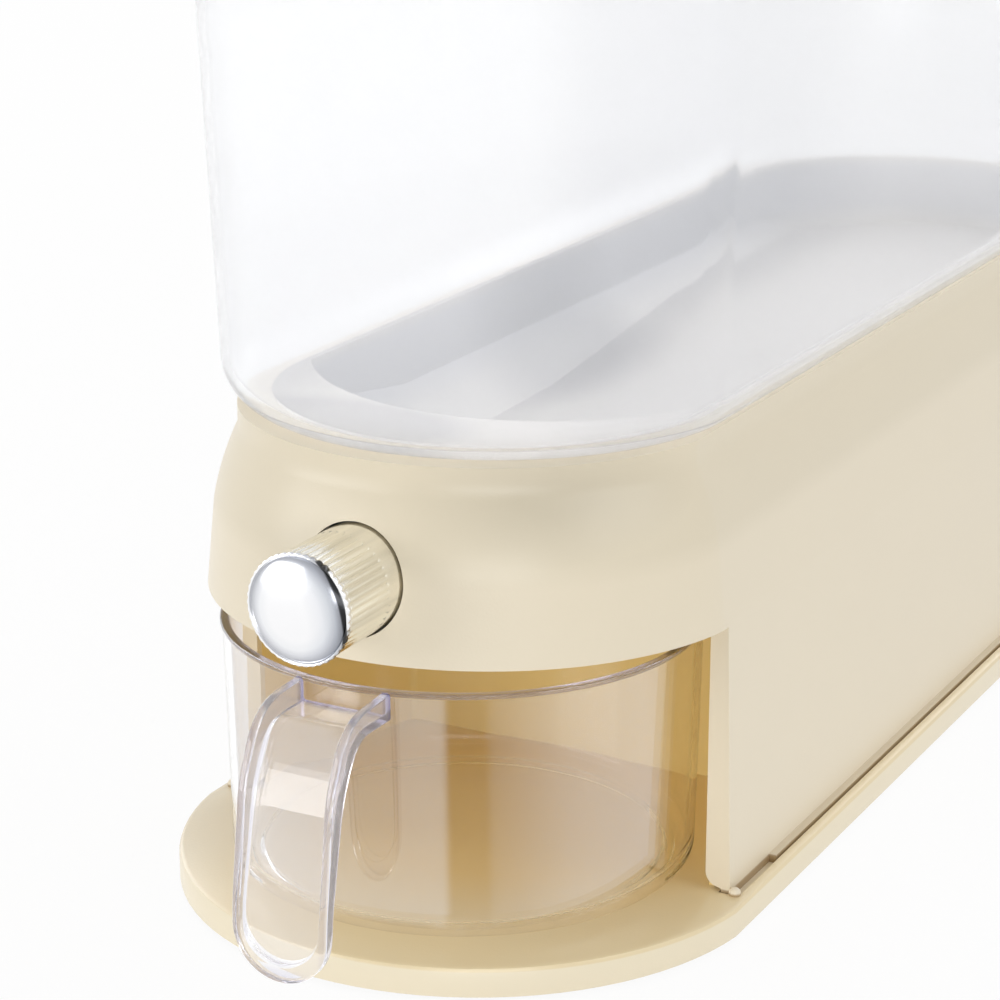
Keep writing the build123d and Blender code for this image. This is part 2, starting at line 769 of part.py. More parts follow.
def make_hopper():
    shell = stack(hopper_levels(0.0, 0.0) + [hopper_plan(1.0, 1.0, 0.0, rim_z)])
    space = stack(hopper_levels(hopper_wall, hopper_wall)
                  + [hopper_plan(1.0, 1.0, hopper_wall, rim_z),
                     hopper_plan(1.0, 1.0, hopper_wall, rim_z + 1)])
    well = extrude(well_plan(0.0, funnel_z), deck_z + 1 - funnel_z)
    well &= funnel_space(floor_wall, hopper_wall)
    hollow = extrude(well_plan(hopper_wall, funnel_z), deck_z + hopper_wall + 0.5 - funnel_z)
    hollow &= funnel_space(0.0, 0.0)
    hole = spout_size(0.0)
    body = shell + well - space - hollow
    return body - block(hole[0], hole[1], (funnel_z - 1, outlet_z + 1))


def lid_plan(inset, z):
    """Outline of the lid, measured in from its outer edge."""
    return hopper_plan(1.0, 1.0, inset - lid_skirt - seat_gap, z)


def make_lid_frame():
    body = stack([lid_plan(0, rim_z - lid_overlap), lid_plan(0, lid_z - 0.6), lid_plan(0.6, lid_z)])
    body -= extrude(lid_plan(lid_skirt, rim_z - lid_overlap - 1), lid_overlap + 1)
    body -= extrude(lid_plan(mouth_inset, rim_z - 1), lid_deck + 2)
    bridge = extrude(lid_plan(mouth_inset - 2, rim_z), lid_deck)
    body += bridge & block((-plate_width, plate_width), (hinge_y - bridge_half, hinge_y + bridge_half),
                           (rim_z, lid_z))
    cover = stack([lid_plan(lid_inset, lid_z), lid_plan(lid_inset, lid_top - lid_edge),
                   lid_plan(lid_inset + lid_edge * 0.3, lid_top - lid_edge * 0.3),
                   lid_plan(lid_inset + lid_edge, lid_top)])
    space = extrude(lid_plan(lid_inset + lid_wall, lid_z - 1), lid_height - lid_wall + 1)
    wall_y = hinge_y + hinge_back
    cover -= space & block((-plate_width, plate_width), (wall_y + lid_wall, plate_back), (rim_z, lid_top))
    cover &= block((-plate_width, plate_width), (wall_y, -front_y), (rim_z, lid_top))
    body += cover
    for x in frame_knuckles():
        body += rod_x(hinge_radius, x[0], x[1], hinge_y, hinge_z)
        body += block(x, (hinge_y, wall_y + lid_wall / 2), (hinge_z - arm_half, hinge_z + arm_half))
    return body - rod_x(pin_radius + shaft_gap, -knuckle_edge[2] - 1, knuckle_edge[2] + 1, hinge_y, hinge_z)


def frame_knuckles():
    near, mid, far = knuckle_edge
    return [(-far, -mid), (-near, near), (mid, far)]


def flap_knuckles():
    near, mid, far = knuckle_edge
    return [(-mid + seat_gap, -near - seat_gap), (near + seat_gap, mid - seat_gap)]


def make_lid_flap():
    low = lid_z + seat_gap
    body = stack([lid_plan(lid_inset, low), lid_plan(lid_inset, lid_top - lid_edge),
                  lid_plan(lid_inset + lid_edge * 0.3, lid_top - lid_edge * 0.3),
                  lid_plan(lid_inset + lid_edge, lid_top)])
    end = hinge_y - hinge_clear
    space = extrude(lid_plan(lid_inset + lid_wall, low - 1), lid_height - lid_wall - seat_gap + 1)
    body -= space & block((-plate_width, plate_width), (front_y, end - lid_wall), (0, lid_top))
    body &= block((-plate_width, plate_width), (front_y, end), (rim_z, lid_top))
    rim = extrude(lid_plan(gasket_inset, low + gasket_height), lid_height - gasket_height - lid_wall)
    rim -= extrude(lid_plan(gasket_inset + gasket_wall, low), lid_height)
    rim &= block((-plate_width, plate_width), (front_y, end - lid_wall - seat_gap), (0, lid_top))
    body += rim
    tip = seat_y - hopper_nose - hopper_draft - seat_gap - lid_skirt + lid_inset
    tab = block((-tab_width / 2, tab_width / 2), (tip - tab_reach, tip + tab_root), (low, low + tab_wall))
    body += tab - extrude(lid_plan(lid_inset + lid_wall, low - 1), lid_height)
    for x in flap_knuckles():
        body += rod_x(hinge_radius, x[0], x[1], hinge_y, hinge_z)
        body += block(x, (end - lid_wall / 2, hinge_y), (hinge_z - arm_half, hinge_z + arm_half))
    return body - rod_x(pin_radius + shaft_gap, -knuckle_edge[2], knuckle_edge[2], hinge_y, hinge_z)


def make_lid_gasket():
    low = lid_z + seat_gap
    body = extrude(lid_plan(gasket_inset, low), gasket_height)
    body -= extrude(lid_plan(gasket_inset + gasket_wall, low - 1), gasket_height + 2)
    end = hinge_y - hinge_clear - lid_wall - seat_gap
    ring = block((-plate_width, plate_width), (front_y, end), (0, lid_top))
    return body & ring


def make_hinge_pin():
    return rod_x(pin_radius, -knuckle_edge[2] + 1, knuckle_edge[2] - 1, hinge_y, hinge_z)


parts = {
    "base_plate": make_base_plate,
    "rubber_feet": make_rubber_feet,
    "base_screws": make_base_screws,
    "housing": make_housing,
    "bay_liner": make_bay_liner,
    "chute": make_chute,
    "gate_frame": make_gate_frame,
    "gate_screws": make_gate_screws,
    "outlet_seal": make_outlet_seal,
    "shutter": make_shutter,
    "button_guide": make_button_guide,
    "guide_screws": make_guide_screws,
    "button_barrel": make_button_barrel,
    "button_cap": make_button_cap,
    "push_stem": make_push_stem,
    "stem_clip": make_stem_clip,
    "return_spring": make_return_spring,
    "measuring_cup": make_measuring_cup,
    "hopper": make_hopper,
    "lid_frame": make_lid_frame,
    "lid_flap": make_lid_flap,
    "lid_gasket": make_lid_gasket,
    "hinge_pin": make_hinge_pin,
}

os.makedirs("parts", exist_ok=True)
for name, make in parts.items():
    shape = make()
    if isinstance(shape, list):
        shape = Compound(children=[solid for item in shape for solid in item.solids()])
    export_step(shape, f"parts/{name}.step")
    print(name, round(shape.volume, 1))
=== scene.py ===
import math

import bmesh
import bpy
from mathutils import Matrix, Vector


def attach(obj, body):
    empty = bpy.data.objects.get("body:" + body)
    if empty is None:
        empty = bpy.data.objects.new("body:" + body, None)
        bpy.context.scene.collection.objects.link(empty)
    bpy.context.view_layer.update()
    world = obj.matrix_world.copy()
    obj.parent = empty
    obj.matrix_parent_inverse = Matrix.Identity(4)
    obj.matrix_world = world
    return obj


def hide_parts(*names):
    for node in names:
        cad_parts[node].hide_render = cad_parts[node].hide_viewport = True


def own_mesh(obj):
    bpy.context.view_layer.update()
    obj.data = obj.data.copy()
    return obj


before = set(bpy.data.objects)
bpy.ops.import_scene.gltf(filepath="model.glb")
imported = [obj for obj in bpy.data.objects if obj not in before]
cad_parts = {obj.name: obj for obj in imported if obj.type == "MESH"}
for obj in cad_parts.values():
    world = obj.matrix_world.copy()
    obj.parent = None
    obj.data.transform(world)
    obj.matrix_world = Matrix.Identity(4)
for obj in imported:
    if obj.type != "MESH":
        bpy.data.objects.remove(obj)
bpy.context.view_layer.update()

mm = 0.001
# Points closer than weld are joined, heights and radii closer than near count as equal, in millimetres
weld, near = 0.002, 0.01


# Camera at the photograph's viewing angle
cameraSettings = {
    "position": (341.2, -777.6, 329.2),
    "target": (0.0, -132.2, 100.3),
    "lens": 104.4,
}


def addCamera(settings):
    data = bpy.data.cameras.new("packshotCamera")
    data.sensor_width = 36.0
    data.lens = settings["lens"]
    data.clip_start = 0.05
    data.clip_end = 30.0
    camera = bpy.data.objects.new("packshotCamera", data)
    position = Vector(settings["position"]) * mm
    target = Vector(settings["target"]) * mm
    camera.location = position
    camera.rotation_mode = "QUATERNION"
    camera.rotation_quaternion = (target - position).to_track_quat("-Z", "Y")
    bpy.context.scene.collection.objects.link(camera)
    bpy.context.scene.camera = camera


addCamera(cameraSettings)
print("camera set")


# Materials: small helpers, then shared effects, then one material for each finish
def link(tree, source, target):
    tree.links.new(source, target)


def newMaterial(name, settings):
    material = bpy.data.materials.new(name)
    material.use_nodes = True
    shader = material.node_tree.nodes["Principled BSDF"]
    for socket, value in settings.items():
        shader.inputs[socket].default_value = value
    return material, material.node_tree, shader


def objectSpace(tree, scale=(1.0, 1.0, 1.0)):
    coordinates = tree.nodes.new("ShaderNodeTexCoord")
    mapping = tree.nodes.new("ShaderNodeMapping")
    mapping.inputs["Scale"].default_value = scale
    link(tree, coordinates.outputs["Object"], mapping.inputs["Vector"])
    return mapping.outputs["Vector"]


def addMath(tree, operation, *values, kind="ShaderNodeMath"):
    # Each value is a number for its input, or the socket that feeds it
    node = tree.nodes.new(kind)
    node.operation = operation
    for socket, value in zip(node.inputs, values):
        if isinstance(value, bpy.types.NodeSocket):
            link(tree, value, socket)
        else:
            socket.default_value = value
    return node.outputs


def openGroup(name, inputs, outputs):
    # A node group with named inputs, some of them with a default, and named outputs
    group = bpy.data.node_groups.new(name, "ShaderNodeTree")
    for title, kind, *default in inputs:
        socket = group.interface.new_socket(title, in_out="INPUT", socket_type="NodeSocket" + kind)
        if default:
            socket.default_value = default[0]
    for title, kind in outputs:
        group.interface.new_socket(title, in_out="OUTPUT", socket_type="NodeSocket" + kind)
    entry = group.nodes.new("NodeGroupInput")
    leave = group.nodes.new("NodeGroupOutput")
    return group, entry.outputs, leave.inputs


surfaceSettings = {"cloudScale": 14.0, "cloudDetail": 3.0, "grainDetail": 2.0}


def makeMouldedGroup(s):
    # Colour drift, gloss drift and the fine eroded grain of moulded plastic
    group, given, result = openGroup(
        "mouldedSurface",
        (("Vector", "Vector"), ("Color", "Color", (0.8, 0.7, 0.5, 1.0)), ("Drift", "Float", 0.02),
         ("Roughness", "Float", 0.35), ("Gloss Drift", "Float", 0.05), ("Grain Scale", "Float", 1500.0)),
        (("Color", "Color"), ("Roughness", "Float"), ("Height", "Float")))
    cloud = group.nodes.new("ShaderNodeTexNoise")
    cloud.inputs["Scale"].default_value = s["cloudScale"]
    cloud.inputs["Detail"].default_value = s["cloudDetail"]
    link(group, given["Vector"], cloud.inputs["Vector"])
    centred = addMath(group, "SUBTRACT", cloud.outputs["Fac"], 0.5)[0]
    tone = addMath(group, "MULTIPLY_ADD", centred, given["Drift"], 1.0)[0]
    colour = addMath(group, "MULTIPLY", given["Color"], tone, kind="ShaderNodeVectorMath")["Vector"]
    gloss = addMath(group, "MULTIPLY_ADD", centred, given["Gloss Drift"], given["Roughness"])[0]
    grain = group.nodes.new("ShaderNodeTexNoise")
    grain.inputs["Detail"].default_value = s["grainDetail"]
    link(group, given["Vector"], grain.inputs["Vector"])
    link(group, given["Grain Scale"], grain.inputs["Scale"])
    link(group, colour, result["Color"])
    link(group, gloss, result["Roughness"])
    link(group, grain.outputs["Fac"], result["Height"])
    return group


mouldedSurface = makeMouldedGroup(surfaceSettings)


def moulded(name, colour, drift=0.03, roughness=0.35, glossDrift=0.06, grainScale=1500.0,
            grainDepth=0.03, stretch=(1.0, 1.0, 1.0), **sockets):
    material, tree, shader = newMaterial(name, sockets)
    group = tree.nodes.new("ShaderNodeGroup")
    group.node_tree = mouldedSurface
    group.inputs["Color"].default_value = (*colour, 1.0)
    group.inputs["Drift"].default_value = drift
    group.inputs["Roughness"].default_value = roughness
    group.inputs["Gloss Drift"].default_value = glossDrift
    group.inputs["Grain Scale"].default_value = grainScale
    link(tree, objectSpace(tree, stretch), group.inputs["Vector"])
    link(tree, group.outputs["Color"], shader.inputs["Base Color"])
    link(tree, group.outputs["Roughness"], shader.inputs["Roughness"])
    bump = tree.nodes.new("ShaderNodeBump")
    bump.inputs["Strength"].default_value = 1.0
    bump.inputs["Distance"].default_value = grainDepth * mm
    link(tree, group.outputs["Height"], bump.inputs["Height"])
    link(tree, bump.outputs["Normal"], shader.inputs["Normal"])
    return material


def clearPlastic(name, colour, ior, roughness=0.02, **sockets):
    return moulded(name, colour, drift=0.005, roughness=roughness, glossDrift=0.01, grainDepth=0.001,
                   grainScale=300.0, IOR=ior, **{"Coat Roughness": 0.02}, **sockets)


creamHousing = moulded("creamHousing", (0.825, 0.737, 0.575), roughness=0.3,
                       **{"Specular IOR Level": 0.4})
creamPlate = moulded("creamPlate", (0.88, 0.787, 0.595), roughness=0.25,
                     **{"Specular IOR Level": 0.6})
# The bay's lining is the housing's cream plastic, painted a deeper golden as the bay's shade
shadedCreamLiner = moulded("shadedCreamLiner", (0.84, 0.65, 0.27), roughness=0.3, grainDepth=0.02,
                     **{"Specular IOR Level": 0.45})
clearBin = moulded("clearBin", (0.945, 0.947, 0.952), drift=0.01, roughness=0.08, grainDepth=0.01,
                   IOR=1.08, **{"Transmission Weight": 0.8, "Coat Weight": 0.3, "Coat Roughness": 0.05})
# The funnel's grey is partly its own cloudy plastic and partly painted shade, for the dark housing below it
cloudyShadedFunnel = moulded("cloudyShadedFunnel", (0.73, 0.705, 0.68), drift=0.06, roughness=0.2, grainDepth=0.02,
                       IOR=1.2, **{"Transmission Weight": 0.15})
frostedLid = moulded("frostedLid", (0.96, 0.96, 0.96), drift=0.01, roughness=0.15, grainDepth=0.02,
                     IOR=1.1, **{"Transmission Weight": 0.5})
clearCup = clearPlastic("clearCup", (0.985, 0.98, 0.985), 1.11,
                        **{"Transmission Weight": 1.0, "Coat IOR": 2.4})
clearFloor = clearPlastic("clearFloor", (0.985, 0.98, 0.985), 1.06,
                          **{"Transmission Weight": 1.0, "Coat Weight": 0.35})
# The rim is the cup's clear plastic, painted darker violet for the dark line seen along it: painted shade
shadedClearRim = clearPlastic("shadedClearRim", (0.62, 0.6, 0.7), 1.3, roughness=0.03,
                        **{"Transmission Weight": 0.96, "Coat Weight": 0.7})
clearHandle = clearPlastic("clearHandle", (0.975, 0.968, 0.985), 1.33, roughness=0.03,
                           **{"Transmission Weight": 0.87, "Coat Weight": 0.7})
brightCap = moulded("brightCap", (0.97, 0.97, 0.98), drift=0.01, roughness=0.19, glossDrift=0.03,
                    grainDepth=0.004, Metallic=1.0)
brightBarrel = moulded("brightBarrel", (0.9, 0.885, 0.825), drift=0.7, roughness=0.16, glossDrift=0.03,
                       grainDepth=0.006, stretch=(22.0, 1.2, 22.0), Metallic=1.0)
drawnSteel = moulded("drawnSteel", (0.62, 0.61, 0.6), drift=0.08, roughness=0.28, glossDrift=0.1,
                     grainDepth=0.02, stretch=(1.0, 12.0, 1.0), Metallic=1.0)
gateWhite = moulded("gateWhite", (0.78, 0.78, 0.76), roughness=0.3, grainDepth=0.02)
sealRubber = moulded("sealRubber", (0.55, 0.54, 0.52), drift=0.08, roughness=0.6, grainDepth=0.05)
footRubber = moulded("footRubber", (0.08, 0.08, 0.085), drift=0.2, roughness=0.7, grainDepth=0.08)


def makeDistanceGroup():
    # The distance from a centre, measured along some axes only, as a share of the reach
    group, given, result = openGroup(
        "distanceShare",
        (("Vector", "Vector"), ("Axes", "Vector"), ("Centre", "Vector"), ("Reach", "Float")),
        (("Share", "Float"),))
    flat = addMath(group, "MULTIPLY", given["Vector"], given["Axes"], kind="ShaderNodeVectorMath")["Vector"]
    distance = addMath(group, "DISTANCE", flat, given["Centre"], kind="ShaderNodeVectorMath")["Value"]
    link(group, addMath(group, "DIVIDE", distance, given["Reach"])[0], result["Share"])
    return group


distanceShare = makeDistanceGroup()


def rampByDistance(tree, axes, centre, reach, stops):
    # A ramp over the distance from a centre; the stops are places in millimetres with their colours
    group = tree.nodes.new("ShaderNodeGroup")
    group.node_tree = distanceShare
    group.inputs["Axes"].default_value = axes
    group.inputs["Centre"].default_value = Vector(centre) * mm
    group.inputs["Reach"].default_value = reach * mm
    link(tree, objectSpace(tree), group.inputs["Vector"])
    ramp = tree.nodes.new("ShaderNodeValToRGB")
    while len(ramp.color_ramp.elements) < len(stops):
        ramp.color_ramp.elements.new(0.5)
    for element, (place, colour) in zip(ramp.color_ramp.elements, stops):
        element.position = place / reach
        element.color = (*colour, 1.0)
    link(tree, group.outputs["Share"], ramp.inputs["Fac"])
    return ramp.outputs["Color"]


def multiplyInto(tree, value, socket):
    # Multiplies what feeds a socket, or feeds it where nothing does yet
    if socket.links:
        before = socket.links[0].from_socket
        value = addMath(tree, "MULTIPLY", before, value, kind="ShaderNodeVectorMath")["Vector"]
    link(tree, value, socket)


def tintByDistance(material, axes, centre, reach, stops):
    tree = material.node_tree
    ramp = rampByDistance(tree, axes, centre, reach, stops)
    multiplyInto(tree, ramp, tree.nodes["Principled BSDF"].inputs["Base Color"])


def coatByDistance(material, axes, centre, reach, stops):
    tree = material.node_tree
    ramp = rampByDistance(tree, axes, centre, reach, [(place, (weight,) * 3) for place, weight in stops])
    multiplyInto(tree, ramp, tree.nodes["Principled BSDF"].inputs["Coat Weight"])


# Colour by place, in millimetres: the axes that count, the centre on them, the reach and the stops; the tints
# below are painted shade and painted reflection
acrossX, alongY, upwards = (1.0, 0.0, 0.0), (0.0, 1.0, 0.0), (0.0, 0.0, 1.0)
aroundY, aroundZ = (1.0, 0.0, 1.0), (1.0, 1.0, 0.0)
white, plateTopShade, footShade, hollowShade = (1.0, 1.0, 1.0), (0.95, 0.89, 0.75), (0.5, 0.4, 0.28), (0.84, 0.84, 0.835)
underHeadShade, slopeShade, farSlopeShade = (1.0, 0.91, 0.7), (0.78, 0.81, 0.87), (0.7, 0.715, 0.745)
ledgeShade, foldShade, handleEdgeShade = (0.7, 0.71, 0.74), (0.62, 0.63, 0.66), (0.8, 0.795, 0.88)
handleRootShade, capGrooveShade = (0.42, 0.4, 0.58), (0.06, 0.06, 0.06)

tintSettings = (
    # Painted shade at the housing's foot in the plate's groove, and on its shoulder under the hopper
    (creamHousing, upwards, (0.0, 0.0, 8.0), 125.0,
     ((1.9, footShade), (2.3, white), (93.0, (0.97, 0.97, 0.965)), (99.0, (0.91, 0.91, 0.895)))),
    # Painted shade in the shoulder's hollow beside the button; heights count 2.5 times
    (creamHousing, (1.0, 1.0, 2.5), (43.0, -186.0, 305.0), 60.0, ((9.0, hollowShade), (40.0, white))),
    # Painted shade on the hopper's foot, and on its sides, which show more of their depth
    (clearBin, upwards, (0.0, 0.0, 130.0), 190.0,
     ((0.0, (0.97, 0.97, 0.975)), (20.0, (0.98, 0.98, 0.985)), (90.0, white))),
    (clearBin, acrossX, (0.0, 0.0, 0.0), 80.0,
     ((40.0, white), (54.0, (0.945, 0.946, 0.95)), (80.0, (0.925, 0.927, 0.933)))),
    # Painted shade: the plate's top turns golden towards the right; only the top counts here, its edge lies
    # more than 130 away in the stretched height
    (creamPlate, (1.0, 0.0, 100.0), (100.0, 0.0, 950.0), 200.0, ((125.0, plateTopShade), (160.0, white))),
    # Painted shade: the plate turns golden near the cup's bay, under the head
    (creamPlate, aroundZ, (0.0, -120.0, 0.0), 100.0, ((50.0, underHeadShade), (74.0, white))),
    # Painted shade on the funnel's side slope, and on its far end
    (cloudyShadedFunnel, upwards, (0.0, 0.0, 93.0), 50.0,
     ((15.0, white), (22.0, slopeShade), (36.0, slopeShade), (39.0, (0.94, 0.935, 0.93)))),
    (cloudyShadedFunnel, acrossX, (60.0, 0.0, 0.0), 130.0, ((86.0, white), (112.0, farSlopeShade))),
    # Painted shade on the front of the ledge and on the side slope
    (cloudyShadedFunnel, (1.0, 1.6, 0.0), (-18.0, -292.8, 0.0), 60.0, ((27.0, ledgeShade), (40.0, white))),
    (cloudyShadedFunnel, (1.0, 0.5, 0.0), (-45.0, 0.0, 0.0), 60.0, ((12.0, foldShade), (28.0, white))),
    # Painted shade on the handle's upright sides and its round end, where they are seen through their depth,
    # and at its root
    (clearHandle, acrossX, (0.0, 0.0, 0.0), 20.0,
     ((10.7, white), (11.4, (0.87, 0.865, 0.925)), (13.3, handleEdgeShade))),
    (clearHandle, upwards, (0.0, 0.0, 9.5), 20.0,
     ((0.0, handleEdgeShade), (2.4, (0.84, 0.835, 0.9)), (3.4, white))),
    (clearHandle, aroundZ, (0.0, -152.6, 0.0), 100.0, ((63.5, handleRootShade), (64.4, white))),
    # Painted reflection of a dark studio on the cap's right edge, painted shade in its groove, and the dome
    # painted evenly darker towards the rim
    (brightCap, aroundY, (-9.0, 0.0, 98.2), 24.0,
     ((13.0, white), (17.0, (0.9, 0.91, 0.93)), (20.0, (0.7, 0.72, 0.75)),
      (21.2, (0.5, 0.51, 0.53)), (21.5, capGrooveShade), (22.35, capGrooveShade), (22.65, (0.95, 0.95, 0.95)))),
    (brightCap, aroundY, (0.0, 0.0, 101.3), 15.0,
     ((7.0, white), (9.5, (0.93, 0.94, 0.95)), (11.0, (0.76, 0.77, 0.8)),
      (12.8, (0.5, 0.51, 0.54)), (13.3, white))),
)

# Painted reflection, as gloss by place: the cup's front shines in upright bands, its foot and its back hardly
# at all
coatSettings = (
    (clearCup, acrossX, (-70.0, 0.0, 0.0), 140.0,
     ((0.0, 0.55), (80.0, 0.75), (94.7, 0.8), (96.0, 0.03), (104.0, 0.05), (105.2, 0.25), (110.0, 0.4),
      (115.0, 0.6), (120.0, 0.82), (127.0, 1.0), (130.0, 1.0), (131.5, 0.6), (132.6, 0.3))),
    (clearCup, upwards, (0.0, 0.0, 9.5), 80.0, ((0.0, 0.15), (4.5, 0.25), (7.0, 1.0))),
    (clearCup, alongY, (0.0, -230.0, 0.0), 160.0, ((72.0, 1.0), (88.0, 0.15))),
)

for tint in tintSettings:
    tintByDistance(*tint)
for coat in coatSettings:
    coatByDistance(*coat)
print("materials made")

finishOf = {
    "base_plate": creamPlate,
    "rubber_feet": footRubber,
    "base_screws": drawnSteel,
    "housing": creamHousing,
    "bay_liner": shadedCreamLiner,
    "chute": gateWhite,
    "gate_frame": gateWhite,
    "gate_screws": drawnSteel,
    "outlet_seal": sealRubber,
    "shutter": gateWhite,
    "button_guide": gateWhite,
    "guide_screws": drawnSteel,
    "button_barrel": brightBarrel,
    "button_cap": brightCap,
    "push_stem": drawnSteel,
    "stem_clip": drawnSteel,
    "return_spring": drawnSteel,
    "measuring_cup": clearCup,
    "hopper": clearBin,
    "lid_frame": frostedLid,
    "lid_flap": frostedLid,
    "lid_gasket": sealRubber,
    "hinge_pin": drawnSteel,
}


creaseAngle = 30


def makeSmoothing():
    # Joins a node's loose triangles and shades it smooth, but for edges sharper than the crease angle
    tree = bpy.data.node_groups.new("smoothMoulding", "GeometryNodeTree")
    tree.interface.new_socket("Geometry", in_out="INPUT", socket_type="NodeSocketGeometry")
    tree.interface.new_socket("Geometry", in_out="OUTPUT", socket_type="NodeSocketGeometry")
    entry = tree.nodes.new("NodeGroupInput")
    leave = tree.nodes.new("NodeGroupOutput")
    merge = tree.nodes.new("GeometryNodeMergeByDistance")
    merge.inputs["Distance"].default_value = weld * mm
    smooth = tree.nodes.new("GeometryNodeSetShadeSmooth")
    crease = tree.nodes.new("GeometryNodeSetShadeSmooth")
    crease.domain = "EDGE"
    crease.inputs["Shade Smooth"].default_value = False
    angle = tree.nodes.new("GeometryNodeInputMeshEdgeAngle")
    sharp = tree.nodes.new("FunctionNodeCompare")
    sharp.operation = "GREATER_THAN"
    sharp.inputs[1].default_value = math.radians(creaseAngle)
    link(tree, entry.outputs["Geometry"], merge.inputs["Geometry"])
    link(tree, merge.outputs["Geometry"], smooth.inputs["Geometry"])
    link(tree, smooth.outputs["Geometry"], crease.inputs["Geometry"])
    link(tree, angle.outputs["Unsigned Angle"], sharp.inputs[0])
    link(tree, sharp.outputs["Result"], crease.inputs["Selection"])
    link(tree, crease.outputs["Geometry"], leave.inputs["Geometry"])
    return tree


smoothMoulding = makeSmoothing()


def shadeMoulding(piece, finish, weighted=True):
    piece.data.materials.clear()
    piece.data.materials.append(finish)
    smoothing = piece.modifiers.new("smoothMoulding", "NODES")
    smoothing.node_group = smoothMoulding
    if weighted:
        normals = piece.modifiers.new("evenNormals", "WEIGHTED_NORMAL")
        normals.keep_sharp = True


for name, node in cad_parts.items():
    shadeMoulding(node, finishOf[name], weighted=False)
for name in ("hopper", "lid_frame", "lid_flap"):
    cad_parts[name].visible_shadow = False
print("finishes set on the CAD nodes")


# Shared shaping helpers; all sizes are in millimetres
def newPiece(name, bm, finish, body, nodes):
    bmesh.ops.remove_doubles(bm, verts=bm.verts, dist=weld)
    bmesh.ops.recalc_face_normals(bm, faces=bm.faces)
    bmesh.ops.scale(bm, vec=(mm, mm, mm), verts=bm.verts)
    mesh = bpy.data.meshes.new(name)
    bm.to_mesh(mesh)
    bm.free()
    piece = bpy.data.objects.new(name, mesh)
    bpy.context.scene.collection.objects.link(piece)
    shadeMoulding(piece, finish)
    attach(piece, body)
    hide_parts(*nodes)
    return piece


def copyOfNode(name):
    # A CAD node's mesh in millimetres, its loose triangles joined
    bm = bmesh.new()
    bm.from_mesh(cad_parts[name].data)
    bmesh.ops.scale(bm, vec=(1 / mm, 1 / mm, 1 / mm), verts=bm.verts)
    bmesh.ops.remove_doubles(bm, verts=bm.verts, dist=weld)
    return bm


def startRing(bm, points):
    ring = bmesh.ops.create_circle(bm, segments=len(points), radius=1.0)["verts"]
    for vert, point in zip(ring, points):
        vert.co = point
    return ring


def ringEdges(bm, ring, closed=True):
    after = ring[1:] + ring[:1] if closed else ring[1:]
    return [bm.edges.get((a, b)) for a, b in zip(ring, after)]


def growRing(bm, ring, points, closed=True):
    # Extrudes the edges of a ring, or of an open chain, and sets the new ring on its points
    made = set(bmesh.ops.extrude_edge_only(bm, edges=ringEdges(bm, ring, closed))["geom"])
    grown = [next(e.other_vert(v) for e in v.link_edges if e.other_vert(v) in made) for v in ring]
    for vert, point in zip(grown, points):
        vert.co = point
    return grown


def growRings(bm, outlines):
    # Rings joined one after another; gives the first and the last
    ring = first = startRing(bm, outlines[0])
    for points in outlines[1:]:
        ring = growRing(bm, ring, points)
    return first, ring


def growTube(bm, outlines):
    first, last = growRings(bm, outlines)
    bmesh.ops.bridge_loops(bm, edges=ringEdges(bm, first) + ringEdges(bm, last))


def openEdges(bm):
    return [e for e in bm.edges if e.is_boundary]


def spinProfile(bm, profile, steps, centre, axis, closed=False):
    # profile runs from the axis round to the axis, or closes on itself, as points of a flat section
    verts = [bm.verts.new(point) for point in profile]
    edges = [bm.edges.new(pair) for pair in zip(verts, verts[1:] + (verts[:1] if closed else []))]
    bmesh.ops.spin(bm, geom=verts + edges, cent=centre, axis=axis, dvec=(0, 0, 0),
                   angle=2 * math.pi, steps=steps, use_merge=True, use_duplicate=False)
    bmesh.ops.remove_doubles(bm, verts=bm.verts, dist=weld)


def arcPoints(x, y, radius, start, stop, steps):
    turns = [math.radians(start + (stop - start) * n / steps) for n in range(steps + 1)]
    return [(x + radius * math.cos(turn), y + radius * math.sin(turn)) for turn in turns]


def cornerPoints(before, corner, after, radius, steps):
    # An arc of the given radius in place of the corner
    before, corner, after = Vector(before), Vector(corner), Vector(after)
    arrive, leave = (corner - before).normalized(), (after - corner).normalized()
    turn = arrive.angle(leave)
    first = corner - arrive * radius * math.tan(turn / 2)
    side = 1 if arrive.cross(leave) > 0 else -1
    centre = first + Vector((-arrive.y, arrive.x)) * side * radius
    turns = [Matrix.Rotation(side * turn * k / steps, 2) for k in range(steps + 1)]
    return [centre + rotation @ (first - centre) for rotation in turns]


def sharpEdges(bm, degrees, wanted=lambda edge: True):
    limit = math.radians(degrees)
    return [e for e in bm.edges if e.is_manifold and e.calc_face_angle(0.0) > limit and wanted(e)]


def roundEdges(bm, edges, radius, segments=3, clamp=True):
    bmesh.ops.bevel(bm, geom=edges, offset=radius, offset_type="OFFSET", affect="EDGES",
                    segments=segments, profile=0.5, material=-1, clamp_overlap=clamp)


def combineMeshes(first, second, operation):
    # Exact union, difference or intersection of two closed shells, as one mesh
    objects = []
    for bm in (first, second):
        mesh = bpy.data.meshes.new("solidPart")
        bm.to_mesh(mesh)
        bm.free()
        objects.append(bpy.data.objects.new("solidPart", mesh))
        bpy.context.scene.collection.objects.link(objects[-1])
    combined = objects[0].modifiers.new("combined", "BOOLEAN")
    combined.operation = operation
    combined.solver = "EXACT"
    combined.object = objects[1]
    bpy.context.view_layer.update()
    evaluated = objects[0].evaluated_get(bpy.context.evaluated_depsgraph_get())
    bm = bmesh.new()
    bm.from_mesh(evaluated.to_mesh())
    for part in objects:
        mesh = part.data
        bpy.data.objects.remove(part)
        bpy.data.meshes.remove(mesh)
    return bm


